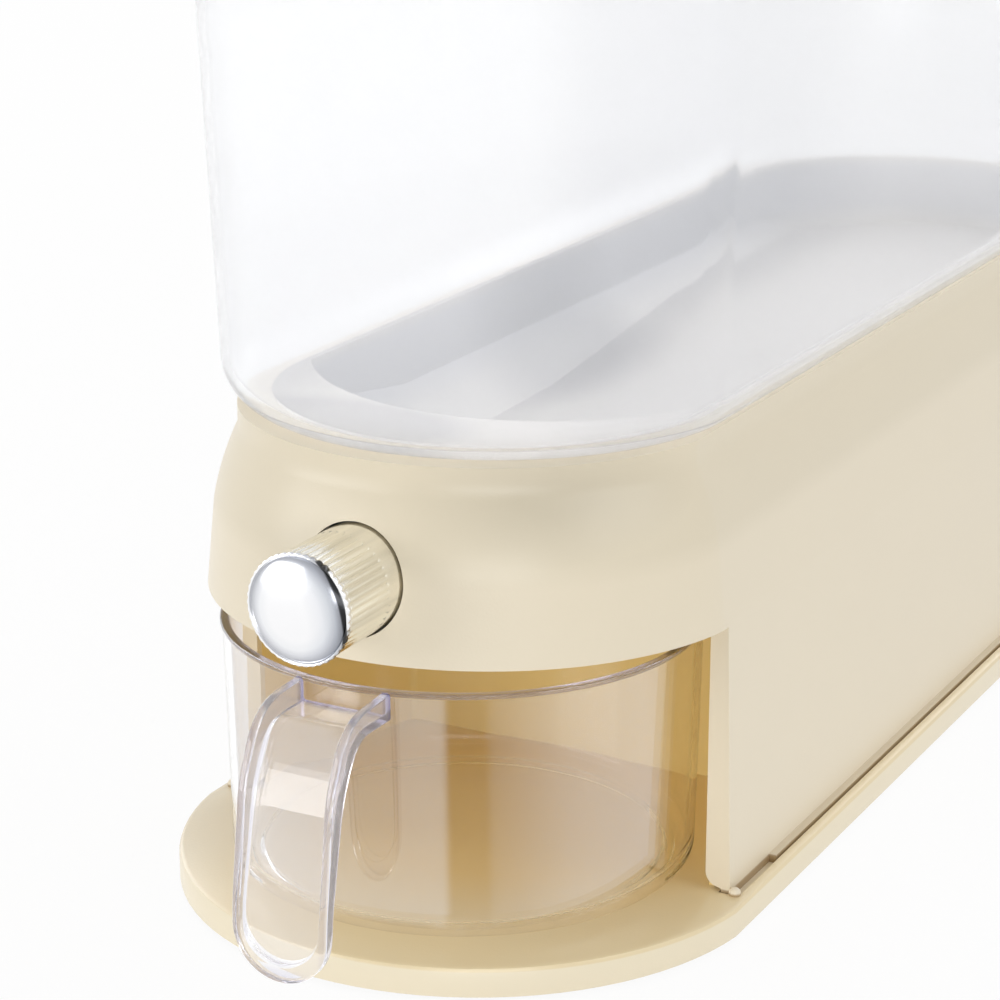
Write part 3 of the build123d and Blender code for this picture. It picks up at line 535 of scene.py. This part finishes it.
# Measuring cup: one spun section, and a channel-shaped strap joined to its wall
cupSettings = {
    "centre": -152.6, "base": 9.5, "height": 67.1, "radius": 62.6, "lean": 1.3, "wall": 1.9,
    "bead": 0.6, "beadHeight": 1.4, "beadFoot": ((-0.15, 0.3), (0.0, 0.7)), "round": 0.45,
    "floor": 4.0, "lift": 1.2, "corner": 4.0, "gap": 0.03,
    "ring": 56.0, "ringWall": 3.0, "ringInside": ((0.6, 0.5), (1.2, 0.12)),
    "ringOutside": ((-0.9, 0.12), (-0.2, 0.5)), "ringFlare": 0.4,
    "cornerSteps": 8, "roundSteps": 4, "steps": 240,
}

handleSettings = {
    "front": -245.5, "half": 13.3, "rim": 2.4, "web": 1.5, "toe": 2.5, "end": 0.5, "joint": 62.62,
    "outer": ((12.2, 65.7, 15.0), (4.1, 48.5, 38.0), (0.0, 17.5, 60.0)),
    "inner": ((17.4, 59.4, 8.0), (10.0, 48.0, 40.0), (3.5, 16.5, 60.0)),
    "slope": 0.05, "levels": (26.0, 21.5, 18.5), "overrun": 1.0, "steps": 9, "endSteps": 12,
    "soft": 0.75, "softAngle": 38, "wallGap": 0.5,
}


def floorSection(s):
    edge = s["ring"] - s["ringWall"] - s["gap"]
    return [(0, s["lift"]), (edge, s["lift"]), (edge, s["floor"]), (0, s["floor"])]


def wallSection(s):
    low, top, wall = s["radius"] - s["lean"], s["height"] - s["beadHeight"] - s["gap"], s["wall"]
    inner, corner = s["ring"] - s["ringWall"], s["corner"]
    section = [(inner, s["lift"])]
    section += [(inner + out, up) for out, up in s["ringInside"]]
    section += [(s["ring"] + out, up) for out, up in s["ringOutside"]]
    section.append((s["ring"] + s["ringFlare"], s["lift"]))
    section += arcPoints(low - corner, s["lift"] + corner, corner, -90, 0, s["cornerSteps"])
    section += [(s["radius"], top), (s["radius"] - wall, top)]
    section += arcPoints(low - wall - corner, s["floor"] + corner, corner, 0, -90, s["cornerSteps"])
    section.append((inner, s["floor"]))
    return section


def rimSection(s):
    top, wall, r = s["height"], s["wall"], s["round"]
    low, rim = top - s["beadHeight"], s["radius"] + s["bead"]
    section = [(s["radius"] - wall, low), (s["radius"], low)]
    section += [(rim + out, low + up) for out, up in s["beadFoot"]]
    section += arcPoints(rim - r, top - r, r, 0, 90, s["roundSteps"])
    section += arcPoints(s["radius"] - wall + r, top - r, r, 90, 180, s["roundSteps"])
    return section


def bentLine(start, bends, end, steps):
    # Straight runs with an arc at each bend, as (back, up) points
    corners = [Vector(start)] + [Vector(bend[:2]) for bend in bends] + [Vector(end)]
    line = [corners[0]]
    for n, bend in enumerate(bends):
        line += cornerPoints(*corners[n:n + 3], bend[2], steps)
    return line + [corners[-1]]


def levelPoint(line, up):
    for a, b in zip(line, line[1:]):
        if b.y <= up <= a.y:
            return a.lerp(b, (a.y - up) / max(a.y - b.y, 1e-9))
    return line[-1]


def strapSide(s, cup):
    # One side of the strap, from the cup's wall down to where the round end starts
    reach, low = cup["centre"] - s["front"] - s["joint"], s["end"] - s["overrun"]
    rise = s["outer"][0][1] + (reach - s["outer"][0][0]) * s["slope"]
    outer = bentLine((reach, rise), s["outer"], (s["outer"][-1][0], low), s["steps"])
    inner = bentLine((reach, s["inner"][0][1]), s["inner"], (s["inner"][-1][0], low), s["steps"])
    stations = list(zip(outer, inner))[:1 + 2 * (s["steps"] + 1)]
    stations += [(levelPoint(outer, up), levelPoint(inner, up)) for up in s["levels"]]
    return stations, outer, inner


def strapSection(s, cup, side, edge, web, front, back, joint=False):
    # Outer back edge, outer front edge, inner front edge and the channel's corner, as points
    points = []
    for x, place in ((edge, back[0]), (edge, front[0]), (web, front[1]), (web, back[1])):
        y = s["front"] + place.x
        if joint:
            y = cup["centre"] - math.sqrt(s["joint"] ** 2 - x ** 2)
        points.append((side * x, y, cup["base"] + place.y))
    return points


def strapSections(s, cup):
    stations, outer, inner = strapSide(s, cup)
    half, channel = s["half"], s["half"] - s["rim"]
    centre = s["end"] + half
    sections = []
    for n, (front, back) in enumerate(stations):
        web = back + (front - back).normalized() * s["web"]
        sections.append(strapSection(s, cup, -1, half, channel, (front, front), (back, web), n == 0))
    count = 2 * s["endSteps"]
    for n in range(count + 1):
        turn = math.pi * (1 + n / count)
        across = (half * math.cos(turn), channel * math.cos(turn))
        low, lowWeb = centre + half * math.sin(turn), centre + s["toe"] + channel * math.sin(turn)
        fronts = (levelPoint(outer, low), levelPoint(outer, lowWeb))
        backs = (levelPoint(inner, low), levelPoint(inner, lowWeb) - Vector((s["web"], 0)))
        sections.append(strapSection(s, cup, 1, *across, fronts, backs))
    sections += [[(-x, y, z) for x, y, z in section] for section in sections[:len(stations)][::-1]]
    return sections, len(stations)


def makeHandle(s, cup):
    bm = bmesh.new()
    sections, sideCount = strapSections(s, cup)
    chain = [bm.verts.new(point) for point in sections[0]]
    for pair in zip(chain, chain[1:]):
        bm.edges.new(pair)
    chains = [chain]
    for section in sections[1:]:
        chains.append(growRing(bm, chains[-1], section, closed=False))
    # The channel's floor and the strap's back go straight across between the two sides
    for corner in (0, 3):
        line = [c[corner] for c in chains]
        left, right = line[:sideCount + 1], line[-sideCount - 1:]
        bmesh.ops.bridge_loops(bm, edges=ringEdges(bm, left, False) + ringEdges(bm, right, False))
    bmesh.ops.holes_fill(bm, edges=openEdges(bm), sides=0)
    bmesh.ops.recalc_face_normals(bm, faces=bm.faces)
    wallY = cup["centre"] - math.sqrt(s["joint"] ** 2 - s["half"] ** 2) - s["wallGap"]
    rounded = sharpEdges(bm, s["softAngle"], lambda e: min(v.co.y for v in e.verts) < wallY)
    roundEdges(bm, rounded, s["soft"], clamp=False)
    return bm


def makeCup(s, handle):
    pieces = []
    for name, section, finish in (("cupWall", wallSection(s), clearCup), ("cupRim", rimSection(s), shadedClearRim),
                                  ("cupFloor", floorSection(s), clearFloor)):
        bm = bmesh.new()
        spinProfile(bm, [(r, 0.0, z) for r, z in section], s["steps"], (0, 0, 0), (0, 0, 1),
                    closed=name != "cupFloor")
        bmesh.ops.translate(bm, vec=(0, s["centre"], s["base"]), verts=bm.verts)
        pieces.append(newPiece(name, bm, finish, "cup", ["measuring_cup"]))
    pieces.append(newPiece("strapHandle", makeHandle(handle, s), clearHandle, "cup", ["measuring_cup"]))
    # The clear walls let the soft light of the studio into the bay
    for piece in pieces:
        piece.visible_shadow = False
        piece.visible_diffuse = False


makeCup(cupSettings, handleSettings)
print("measuring cup made")


# Push button: a domed cap on a fluted barrel, and the spring behind them
buttonSettings = {
    "height": 101.3, "front": -232.09, "length": 35.6, "travel": 16.0,
    "radius": 13.66, "wall": 2.0, "bore": 2.45, "collar": 13.62, "collarStart": 1.3, "collarEdge": 0.4,
    "flutes": 44, "fluteDepth": 0.45, "fluteSteps": 6, "fluteLength": 17.6,
    "capRadius": 14.1, "capRim": 1.8, "capDome": 2.6, "domeInset": 1.0, "teeth": 0.35,
    "groove": 0.5, "grooveGap": 0.05, "domeDrop": 0.2, "domeSteps": 24, "domeSquare": 2.2, "domeFall": 0.72,
    # Rings as (place along the axis, place inside the radius, share of the flutes' or teeth's depth)
    "noseRings": ((0.0, 0.5, 0.0), (0.25, 0.15, 0.5), (0.8, 0.0, 1.0)),
    "fluteEndRings": ((0.0, 0.0, 1.0), (0.5, 0.05, 0.8)),
    "capFootRings": ((0.0, 1.2, 0.0), (0.0, 0.35, 1.0), (0.15, 0.08, 1.0), (0.4, 0.0, 1.0)),
    "capLipRings": ((-0.55, 0.0, 1.0), (-0.25, 0.08, 0.8), (-0.06, 0.28, 0.4), (0.0, 0.52, 0.0),
                    (-0.06, 0.75, 0.0), (-0.3, 0.92, 0.0)),
}


def fluteRing(s, y, radius, depth):
    count = s["flutes"] * s["fluteSteps"]
    points = []
    for n in range(count):
        turn = 2 * math.pi * n / count
        r = radius - depth * (1 - abs(math.cos(turn * s["flutes"] / 2)))
        points.append((r * math.cos(turn), y, s["height"] + r * math.sin(turn)))
    return points


def makeBarrel(s):
    bm = bmesh.new()
    front, back, wall, edge = s["front"], s["front"] + s["length"], s["wall"], s["collarEdge"]
    flutesEnd, collar, inner = front + s["fluteLength"], s["collar"], s["radius"] - wall
    rings = [(front, s["bore"], 0.0)]
    rings += [(front + along, s["radius"] - inside, share) for along, inside, share in s["noseRings"]]
    rings += [(flutesEnd + along, s["radius"] - inside, share) for along, inside, share in s["fluteEndRings"]]
    rings += [(flutesEnd + s["collarStart"], collar, 0.0), (back - edge, collar, 0.0),
              (back, collar - edge, 0.0), (back, inner, 0.0), (front + wall, inner, 0.0),
              (front + wall, s["bore"], 0.0)]
    growTube(bm, [fluteRing(s, y, radius, share * s["fluteDepth"]) for y, radius, share in rings])
    newPiece("fluted_barrel", bm, brightBarrel, "button", ["button_barrel"])


def makeCap(s):
    # A raised rim with fine teeth, a groove, and a cushion-shaped dome
    edge, rim, teeth = s["capRadius"], s["capRim"], s["teeth"]
    dome = edge - s["domeInset"] - s["grooveGap"]
    base, top = rim - s["groove"], rim - s["domeDrop"] + s["capDome"]
    rings = [(out, edge - inside, share * teeth) for out, inside, share in s["capFootRings"]]
    rings += [(rim + out, edge - inside, share * teeth) for out, inside, share in s["capLipRings"]]
    rings.append((base, dome, 0.0))
    for n in range(1, s["domeSteps"]):
        share = math.cos(math.pi / 2 * n / s["domeSteps"])
        height = base + (top - base) * (1 - share ** s["domeSquare"]) ** s["domeFall"]
        rings.append((height, dome * share, 0.0))
    bm = bmesh.new()
    outlines = [fluteRing(s, s["front"] - out, radius, depth) for out, radius, depth in rings]
    first, last = growRings(bm, outlines)
    bmesh.ops.contextual_create(bm, geom=first + ringEdges(bm, first))
    bmesh.ops.pointmerge(bm, verts=last, merge_co=(0, s["front"] - top, s["height"]))
    newPiece("domed_cap", bm, brightCap, "button", ["button_cap"])


def makeSpring():
    # The spring: a copy of the CAD node with its loose triangles joined, given a mesh of its own
    bm = copyOfNode("return_spring")
    piece = newPiece("coil_spring", bm, drawnSteel, "stand", ["return_spring"])
    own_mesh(piece)


makeBarrel(buttonSettings)
makeCap(buttonSettings)
makeSpring()
print("push button made")


# Housing: outlines that follow the foot up to the deck, a bay cut in front, flanges beside it
housingSettings = {
    "half": 75.0, "front": -214.3, "back": 240.5, "corner": -151.2, "backCorner": 181.5,
    "wall": 2.5, "deckWall": 2.5, "stretch": 1.1,
    "foot": 8.0, "plate": 9.5, "head": 82.0, "shoulder": 104.2, "neck": 124.0, "neckTop": 127.0,
    "deck": 130.0, "lean": 2.1, "slope": 0.17, "curve": 0.008,
    "lowLevels": (10.5, 11.0, 11.8, 12.8, 13.6, 14.5, 30.0, 48.0, 65.0),
    "highLevels": (84.0, 87.0, 90.0, 93.0, 96.0, 99.0, 102.0), "neckSteps": 9,
    "sideFront": -147.7, "flange": 68.1, "flangeLow": 10.5, "flangeCorner": 4.0, "flangeWall": 2.5,
    "ledge": 2.0, "ledgeTop": 10.3, "ledgeStart": -121.7,
    "creaseArc": 4.5, "creaseSide": 1.6, "arcSteps": 30, "creaseSteps": 5,
    "sideRows": (-80.0, -30.0, 20.0, 70.0, 120.0),
    "wellHalf": 59.0, "wellFront": -168.1, "wellBack": 224.3, "wellCorner": -134.0, "wellBackCorner": 165.3,
    "wellCrease": 3.0,
    "wellRows": (-128.0, -122.0, -116.0, -110.0, -100.0, -90.0, -70.0, -30.0, 20.0, 70.0, 120.0),
    "soft": 0.45, "softFrom": 8.5, "softAngle": 40, "softSteps": 2, "nudge": 0.001,
    "holeRadius": 14.15, "holeHeight": 101.3, "holeLength": 60.0, "holeMiddle": 10.0, "holeSides": 96,
    "holeSoft": 0.3, "holeAngle": 50,
    "bossRows": (-59.5, 40.5, 160.5), "bossX": 62.5, "bossRadius": 4.5, "bossTop": 27.5, "bossSides": 32,
    "ribWall": 1.8, "ribDrop": 1.0,
    "pegX": 76.4, "pegRadius": 1.6, "pegLift": 0.5, "pegSides": 24, "pegRings": 16,
}


def quarterOutline(half, tip, corner, arcGap, sideGap, arcSteps, creaseSteps):
    # From the tip on the middle line round to the straight side, with the soft crease between them
    depth = abs(corner - tip)
    inward = 1 if corner > tip else -1
    radius = (half ** 2 + depth ** 2) / (2 * depth)
    last = math.atan2(half, radius - depth) - arcGap / radius
    points = [Vector((radius * math.sin(last * n / arcSteps),
                      tip + inward * radius * (1 - math.cos(last * n / arcSteps))))
              for n in range(arcSteps + 1)]
    start, knee, end = points[-1], Vector((half, corner)), Vector((half, corner + inward * sideGap))
    for n in range(1, creaseSteps + 1):
        t = n / creaseSteps
        points.append(start * (1 - t) ** 2 + knee * 2 * t * (1 - t) + end * t ** 2)
    return points


def ringPoints(right, z):
    # Right half of an outline and its mirror image, as points at one height
    left = [Vector((-p.x, p.y)) for p in reversed(right[1:-1])]
    return [(p.x, p.y, z) for p in right + left]


def bodyInset(s, z):
    if z <= s["head"]:
        return s["lean"] * (z - s["plate"]) / (s["head"] - s["plate"])
    if z <= s["shoulder"]:
        return s["lean"] * (1 + (z - s["head"]) / (s["shoulder"] - s["head"]))
    rise = min(z, s["neck"]) - s["shoulder"]
    return 2 * s["lean"] + s["slope"] * rise + s["curve"] * rise ** 2


def outlineFor(s, half, tip, corner):
    return quarterOutline(half, tip, corner, s["creaseArc"], s["creaseSide"], s["arcSteps"], s["creaseSteps"])


def housingRing(s, z, wall=0.0, ledge=0.0, flange=False, level=None):
    inset = bodyInset(s, z)
    half = s["half"] - inset - wall
    front = outlineFor(s, half, s["front"] + s["stretch"] * inset + wall, s["corner"])
    back = outlineFor(s, half + ledge, s["back"] - inset - wall + ledge, s["backCorner"])
    before, behind = s["sideFront"], s["sideFront"] + s["flangeWall"]
    stops = (before, before, behind, behind, s["ledgeStart"], s["ledgeStart"], *s["sideRows"])
    side = [Vector((half, stop)) for stop in stops]
    if flange:
        drop = s["flangeLow"] + s["flangeCorner"] - z
        inner = s["flange"]
        if drop > 0:
            inner += s["flangeCorner"] - math.sqrt(max(s["flangeCorner"] ** 2 - drop ** 2, 0))
        if z < s["flangeLow"]:
            inner = half
        for point in side[:3]:
            point.x = min(half, inner)
    # The ledge starts behind the cup's bay
    for point in side[5:]:
        point.x += ledge
    return ringPoints(front + side + back[::-1], z if level is None else level)


def wellRing(s, z):
    crease, steps = s["wellCrease"], (s["arcSteps"], s["creaseSteps"])
    front = quarterOutline(s["wellHalf"], s["wellFront"], s["wellCorner"], crease, crease, *steps)
    back = quarterOutline(s["wellHalf"], s["wellBack"], s["wellBackCorner"], crease, crease, *steps)
    side = [Vector((s["wellHalf"], row)) for row in s["wellRows"]]
    return ringPoints(front + side + back[::-1], z)


def housingRings(s):
    # From the ledge outside up to the deck, over its rim into the well, and back down inside the walls
    low = [s["ledgeTop"], *s["lowLevels"], s["head"]]
    rise = (s["neck"] - s["shoulder"]) / s["neckSteps"]
    high = [*s["highLevels"]] + [s["shoulder"] + rise * n for n in range(s["neckSteps"] + 1)]
    under = s["deck"] - s["deckWall"]
    rings = [housingRing(s, z, ledge=s["ledge"]) for z in (s["foot"], s["ledgeTop"])]
    rings += [housingRing(s, z) for z in low + high + [s["neckTop"], s["deck"]]]
    rings += [wellRing(s, s["deck"]), wellRing(s, under)]
    rings.append(housingRing(s, s["neckTop"], wall=s["wall"], level=under))
    rings += [housingRing(s, z, wall=s["wall"]) for z in high[::-1] + [s["head"]]]
    rings += [housingRing(s, z, wall=s["wall"], flange=True) for z in low[::-1] + [s["foot"]]]
    return rings


def boundaryAt(bm, z, wanted):
    level = [e for e in openEdges(bm) if all(abs(v.co.z - z) < near for v in e.verts)]
    return [e for e in level if wanted(e)]


def makeHousing(s):
    bm = bmesh.new()
    growRings(bm, housingRings(s))
    bayBack, bayTop = s["sideFront"] + s["nudge"], s["head"] + s["nudge"]

    def inBay(face):
        low = all(v.co.z < bayTop for v in face.verts)
        return low and face.calc_center_median().y < s["sideFront"] - s["nudge"] / 2

    def beforeWalls(edge):
        return all(v.co.y < bayBack for v in edge.verts)

    # The bay is open: nothing stands before the side walls' front edges, below the head
    bmesh.ops.delete(bm, geom=[f for f in bm.faces if inBay(f)], context="FACES")
    bmesh.ops.bridge_loops(bm, edges=boundaryAt(bm, s["head"], beforeWalls))
    bmesh.ops.bridge_loops(bm, edges=boundaryAt(bm, s["foot"], lambda e: not beforeWalls(e)))
    bmesh.ops.remove_doubles(bm, verts=bm.verts, dist=weld)
    bmesh.ops.holes_fill(bm, edges=openEdges(bm), sides=0)
    bmesh.ops.recalc_face_normals(bm, faces=bm.faces)

    def outside(edge):
        return edge.is_convex and all(v.co.z > s["softFrom"] for v in edge.verts)

    roundEdges(bm, sharpEdges(bm, s["softAngle"], outside), s["soft"], s["softSteps"])
    return bm


def cutHole(bm, s):
    # The button's hole through the head
    tool = bmesh.new()
    bmesh.ops.create_cone(tool, cap_ends=True, segments=s["holeSides"], radius1=s["holeRadius"],
                          radius2=s["holeRadius"], depth=s["holeLength"])
    bmesh.ops.rotate(tool, verts=tool.verts, cent=(0, 0, 0), matrix=Matrix.Rotation(math.pi / 2, 3, "X"))
    bmesh.ops.translate(tool, verts=tool.verts, vec=(0, s["front"] + s["holeMiddle"], s["holeHeight"]))
    bm = combineMeshes(bm, tool, "DIFFERENCE")

    def onHole(vert):
        radius = math.hypot(vert.co.x, vert.co.z - s["holeHeight"])
        return abs(radius - s["holeRadius"]) < near and vert.co.y < s["corner"]

    edges = sharpEdges(bm, s["holeAngle"], lambda e: all(onHole(v) for v in e.verts))
    roundEdges(bm, edges, s["holeSoft"], s["softSteps"])
    return bm


def addBosses(bm, s):
    # Screw bosses inside the walls, each with a rib to the wall
    height, middle = s["bossTop"] - s["plate"], (s["plate"] + s["bossTop"]) / 2
    reach = s["half"] - s["wall"] - s["bossX"]
    for y in s["bossRows"]:
        for side in (-1, 1):
            boss = Matrix.Translation((side * s["bossX"], y, middle))
            bmesh.ops.create_cone(bm, cap_ends=True, segments=s["bossSides"], radius1=s["bossRadius"],
                                  radius2=s["bossRadius"], depth=height, matrix=boss)
            rib = Matrix.Translation((side * (s["bossX"] + reach / 2), y, middle))
            size = Matrix.Diagonal((reach, s["ribWall"], height - s["ribDrop"], 1.0))
            bmesh.ops.create_cube(bm, size=1.0, matrix=rib @ size)
    # A small peg stands on the plate beside each front edge
    for side in (-1, 1):
        place = Matrix.Translation((side * s["pegX"], s["sideFront"], s["plate"] + s["pegLift"]))
        bmesh.ops.create_uvsphere(bm, u_segments=s["pegSides"], v_segments=s["pegRings"],
                                  radius=s["pegRadius"], matrix=place)
    return bm


housing = addBosses(cutHole(makeHousing(housingSettings), housingSettings), housingSettings)
newPiece("head_and_walls", housing, creamHousing, "stand", ["housing"])
print("housing made")


# Bay lining: the CAD node's ceiling on walls with a narrow upright corner at each side of the back
liningSettings = {
    "half": 68.1, "front": -145.2, "turn": -112.0, "backHalf": 57.0, "back": -79.5,
    "foot": 9.52, "ceiling": 82.0, "wall": 1.5, "corner": 2.5, "cornerSteps": 6, "cutGap": 0.02,
}


def makeLining(s):
    bm = copyOfNode("bay_liner")
    bmesh.ops.bisect_plane(bm, geom=bm.verts[:] + bm.edges[:] + bm.faces[:], dist=0.001,
                           plane_co=(0, 0, s["ceiling"] + s["cutGap"]), plane_no=(0, 0, 1), clear_inner=True)
    bmesh.ops.holes_fill(bm, edges=openEdges(bm), sides=0)
    turn, back = (s["half"], s["turn"]), (s["backHalf"], s["back"])
    right = [(s["half"], s["front"]), turn]
    right += cornerPoints(turn, back, (0.0, s["back"]), s["corner"], s["cornerSteps"])
    line = right + [(-x, y) for x, y in right[::-1]]
    chain = [bm.verts.new((x, y, s["foot"])) for x, y in line]
    floor = [bm.edges.new(pair) for pair in zip(chain, chain[1:])]
    made = bmesh.ops.extrude_edge_only(bm, edges=floor)["geom"]
    raised = [g for g in made if isinstance(g, bmesh.types.BMVert)]
    bmesh.ops.translate(bm, vec=(0, 0, s["ceiling"] - s["foot"]), verts=raised)
    faces = [g for g in made if isinstance(g, bmesh.types.BMFace)]
    bmesh.ops.recalc_face_normals(bm, faces=faces)
    # The faces look away from the bay, so that the wall grows outwards
    if max(faces, key=lambda face: face.calc_center_median().x).normal.x < 0:
        bmesh.ops.reverse_faces(bm, faces=faces)
    bmesh.ops.solidify(bm, geom=faces, thickness=-s["wall"])
    newPiece("bay_lining", bm, shadedCreamLiner, "stand", ["bay_liner"])


makeLining(liningSettings)
print("bay lining made")


# Hopper: clear walls over a cloudy foot and funnel, whose grey is partly painted shade
hopperSettings = {
    "deck": 130.0, "foot": 12.4, "rim": 312.0, "wall": 2.2, "draft": 7.0,
    "half": 60.6, "front": -194.6, "back": 225.9, "corner": -134.0, "backCorner": 165.3,
    "flare": 9.3, "nose": 9.7, "cornerBack": -17.2, "cornerOut": 16.2,
    "crease": 6.0, "arcSteps": 32, "creaseSteps": 8, "footSteps": 10, "wallSteps": 6,
    "sideRows": (-100.0, -50.0, 0.0, 50.0, 100.0, 140.0),
    "lift": 0.05, "soft": 0.8, "softAngle": 50, "softBand": 0.1,
    "funnelGap": 0.04, "funnelLow": 80.0, "funnelLip": 0.02,
}


def hopperRing(s, swell, draft, wall, z):
    half = s["half"] + s["flare"] * swell + s["draft"] * draft - wall
    grown = s["nose"] * swell + s["draft"] * draft - wall
    ends = []
    for tip, corner in ((s["front"] - grown, s["corner"] + s["cornerBack"] * swell),
                        (s["back"] + grown, s["backCorner"] + s["cornerOut"] * swell)):
        ends.append(quarterOutline(half, tip, corner, s["crease"], s["crease"],
                                   s["arcSteps"], s["creaseSteps"]))
    side = [Vector((half, row)) for row in s["sideRows"]]
    return ringPoints(ends[0] + side + ends[1][::-1], z)


def footLevels(s, bottom):
    # The rounded foot is a quarter of an ellipse: swell and height, from the deck up
    low, rise = s["deck"] + bottom + s["lift"], s["foot"] - bottom - s["lift"]
    turns = [math.pi / 2 * n / s["footSteps"] for n in range(s["footSteps"] + 1)]
    return [(math.sin(turn), low + rise * (1 - math.cos(turn))) for turn in turns]


def makeHopperWalls(s):
    bm = bmesh.new()
    outer = [hopperRing(s, swell, 0.0, 0.0, z) for swell, z in footLevels(s, 0.0)]
    inner = [hopperRing(s, 0.0, 0.0, s["wall"], s["deck"] + s["lift"])]
    inner += [hopperRing(s, swell, 0.0, s["wall"], z) for swell, z in footLevels(s, s["wall"])]
    low = s["deck"] + s["foot"]
    for n in range(1, s["wallSteps"] + 1):
        share = n / s["wallSteps"]
        z = low + (s["rim"] - low) * share
        outer.append(hopperRing(s, 1.0, share, 0.0, z))
        inner.append(hopperRing(s, 1.0, share, s["wall"], z))
    growTube(bm, outer + inner[::-1])
    bmesh.ops.remove_doubles(bm, verts=bm.verts, dist=weld)
    bmesh.ops.recalc_face_normals(bm, faces=bm.faces)

    def atRim(edge):
        return all(v.co.z > s["rim"] - s["softBand"] for v in edge.verts)

    roundEdges(bm, sharpEdges(bm, s["softAngle"], atRim), s["soft"])
    return newPiece("hopper_walls", bm, clearBin, "hopper_bin", ["hopper"])


def makeFunnel(s):
    # The CAD node's well and funnel, up to the foot of the clear walls
    bm = copyOfNode("hopper")
    bmesh.ops.recalc_face_normals(bm, faces=bm.faces)
    within = bmesh.new()
    gap, top = s["wall"] + s["funnelGap"], s["deck"] + s["wall"] + s["funnelLip"]
    for loop in growRings(within, [hopperRing(s, 0.0, 0.0, gap, z) for z in (s["funnelLow"], top)]):
        bmesh.ops.contextual_create(within, geom=loop + ringEdges(within, loop))
    bmesh.ops.recalc_face_normals(within, faces=within.faces)
    bm = combineMeshes(bm, within, "INTERSECT")
    return newPiece("hopper_funnel", bm, cloudyShadedFunnel, "hopper_bin", ["hopper"])


for piece in (makeHopperWalls(hopperSettings), makeFunnel(hopperSettings)):
    piece.visible_shadow = False
print("hopper made")


# Pale floor, white surroundings and soft lamps
studioSettings = {
    "floorSize": 12.0, "floorReach": 3.0, "plainFrom": 0.15, "nearWhite": 0.93, "surroundings": 0.38,
    "lampTarget": (0.0, 0.0, 0.12),
    "lamps": (
        ("keySoftbox", (-1.4, -1.55, 0.5), (1.6, 0.9), 14.0),
        ("frontSoftbox", (1.0, -1.9, 0.25), (1.3, 0.45), 8.3),
        ("topSoftbox", (0.0, 0.0, 2.2), (1.8, 1.8), 4.0),
        ("sideSoftbox", (1.9, -0.3, 1.1), (1.4, 1.2), 11.6),
        ("farSoftbox", (-1.9, 0.6, 1.1), (1.4, 1.2), 11.5),
        ("rearSoftbox", (0.4, 2.0, 1.0), (1.4, 1.0), 8.0),
    ),
}


def backgroundRays(tree):
    # 1 where the camera sees the background, also through glass and in metal
    path = tree.nodes.new("ShaderNodeLightPath").outputs
    result = path["Is Camera Ray"]
    for name in ("Is Glossy Ray", "Is Transmission Ray"):
        result = addMath(tree, "MAXIMUM", result, path[name])[0]
    return result


def addFloor(s):
    mesh = bpy.data.meshes.new("studioFloor")
    bm = bmesh.new()
    bmesh.ops.create_grid(bm, x_segments=1, y_segments=1, size=s["floorSize"])
    bm.to_mesh(mesh)
    bm.free()
    floor = bpy.data.objects.new("studioFloor", mesh)
    bpy.context.scene.collection.objects.link(floor)
    material, tree, shader = newMaterial("paleFloor", {"Roughness": 0.9, "Specular IOR Level": 0.1})
    shader.inputs["Base Color"].default_value = (1.0, 1.0, 1.0, 1.0)
    glow = tree.nodes.new("ShaderNodeEmission")
    mix = tree.nodes.new("ShaderNodeMixShader")
    # The floor turns to plain white away from the object, so that no horizon shows
    away = tree.nodes.new("ShaderNodeGroup")
    away.node_tree = distanceShare
    away.inputs["Axes"].default_value = aroundZ
    away.inputs["Reach"].default_value = s["floorReach"]
    link(tree, objectSpace(tree), away.inputs["Vector"])
    plain = tree.nodes.new("ShaderNodeMapRange")
    plain.inputs["From Min"].default_value = s["plainFrom"]
    plain.inputs["To Min"].default_value = s["nearWhite"]
    link(tree, away.outputs["Share"], plain.inputs["Value"])
    share = addMath(tree, "MULTIPLY", backgroundRays(tree), plain.outputs["Result"])[0]
    link(tree, share, mix.inputs["Fac"])
    link(tree, shader.outputs["BSDF"], mix.inputs[1])
    link(tree, glow.outputs["Emission"], mix.inputs[2])
    link(tree, mix.outputs["Shader"], tree.nodes["Material Output"].inputs["Surface"])
    mesh.materials.append(material)


def addSurroundings(s):
    world = bpy.data.worlds.new("studioWorld")
    world.use_nodes = True
    bpy.context.scene.world = world
    tree = world.node_tree
    background = tree.nodes["Background"]
    background.inputs["Color"].default_value = (1.0, 1.0, 1.0, 1.0)
    strength = tree.nodes.new("ShaderNodeMapRange")
    strength.inputs["To Min"].default_value = s["surroundings"]
    strength.inputs["To Max"].default_value = 1.0
    link(tree, backgroundRays(tree), strength.inputs["Value"])
    link(tree, strength.outputs["Result"], background.inputs["Strength"])


def addLamps(s):
    for name, place, size, power in s["lamps"]:
        data = bpy.data.lights.new(name, "AREA")
        data.shape = "RECTANGLE"
        data.size, data.size_y = size
        data.energy = power
        lamp = bpy.data.objects.new(name, data)
        lamp.location = Vector(place)
        lamp.rotation_mode = "QUATERNION"
        lamp.rotation_quaternion = (Vector(s["lampTarget"]) - Vector(place)).to_track_quat("-Z", "Y")
        bpy.context.scene.collection.objects.link(lamp)


addFloor(studioSettings)
addSurroundings(studioSettings)
addLamps(studioSettings)
bpy.context.scene.view_settings.view_transform = "Standard"
print("studio set")

bpy.context.view_layer.update()
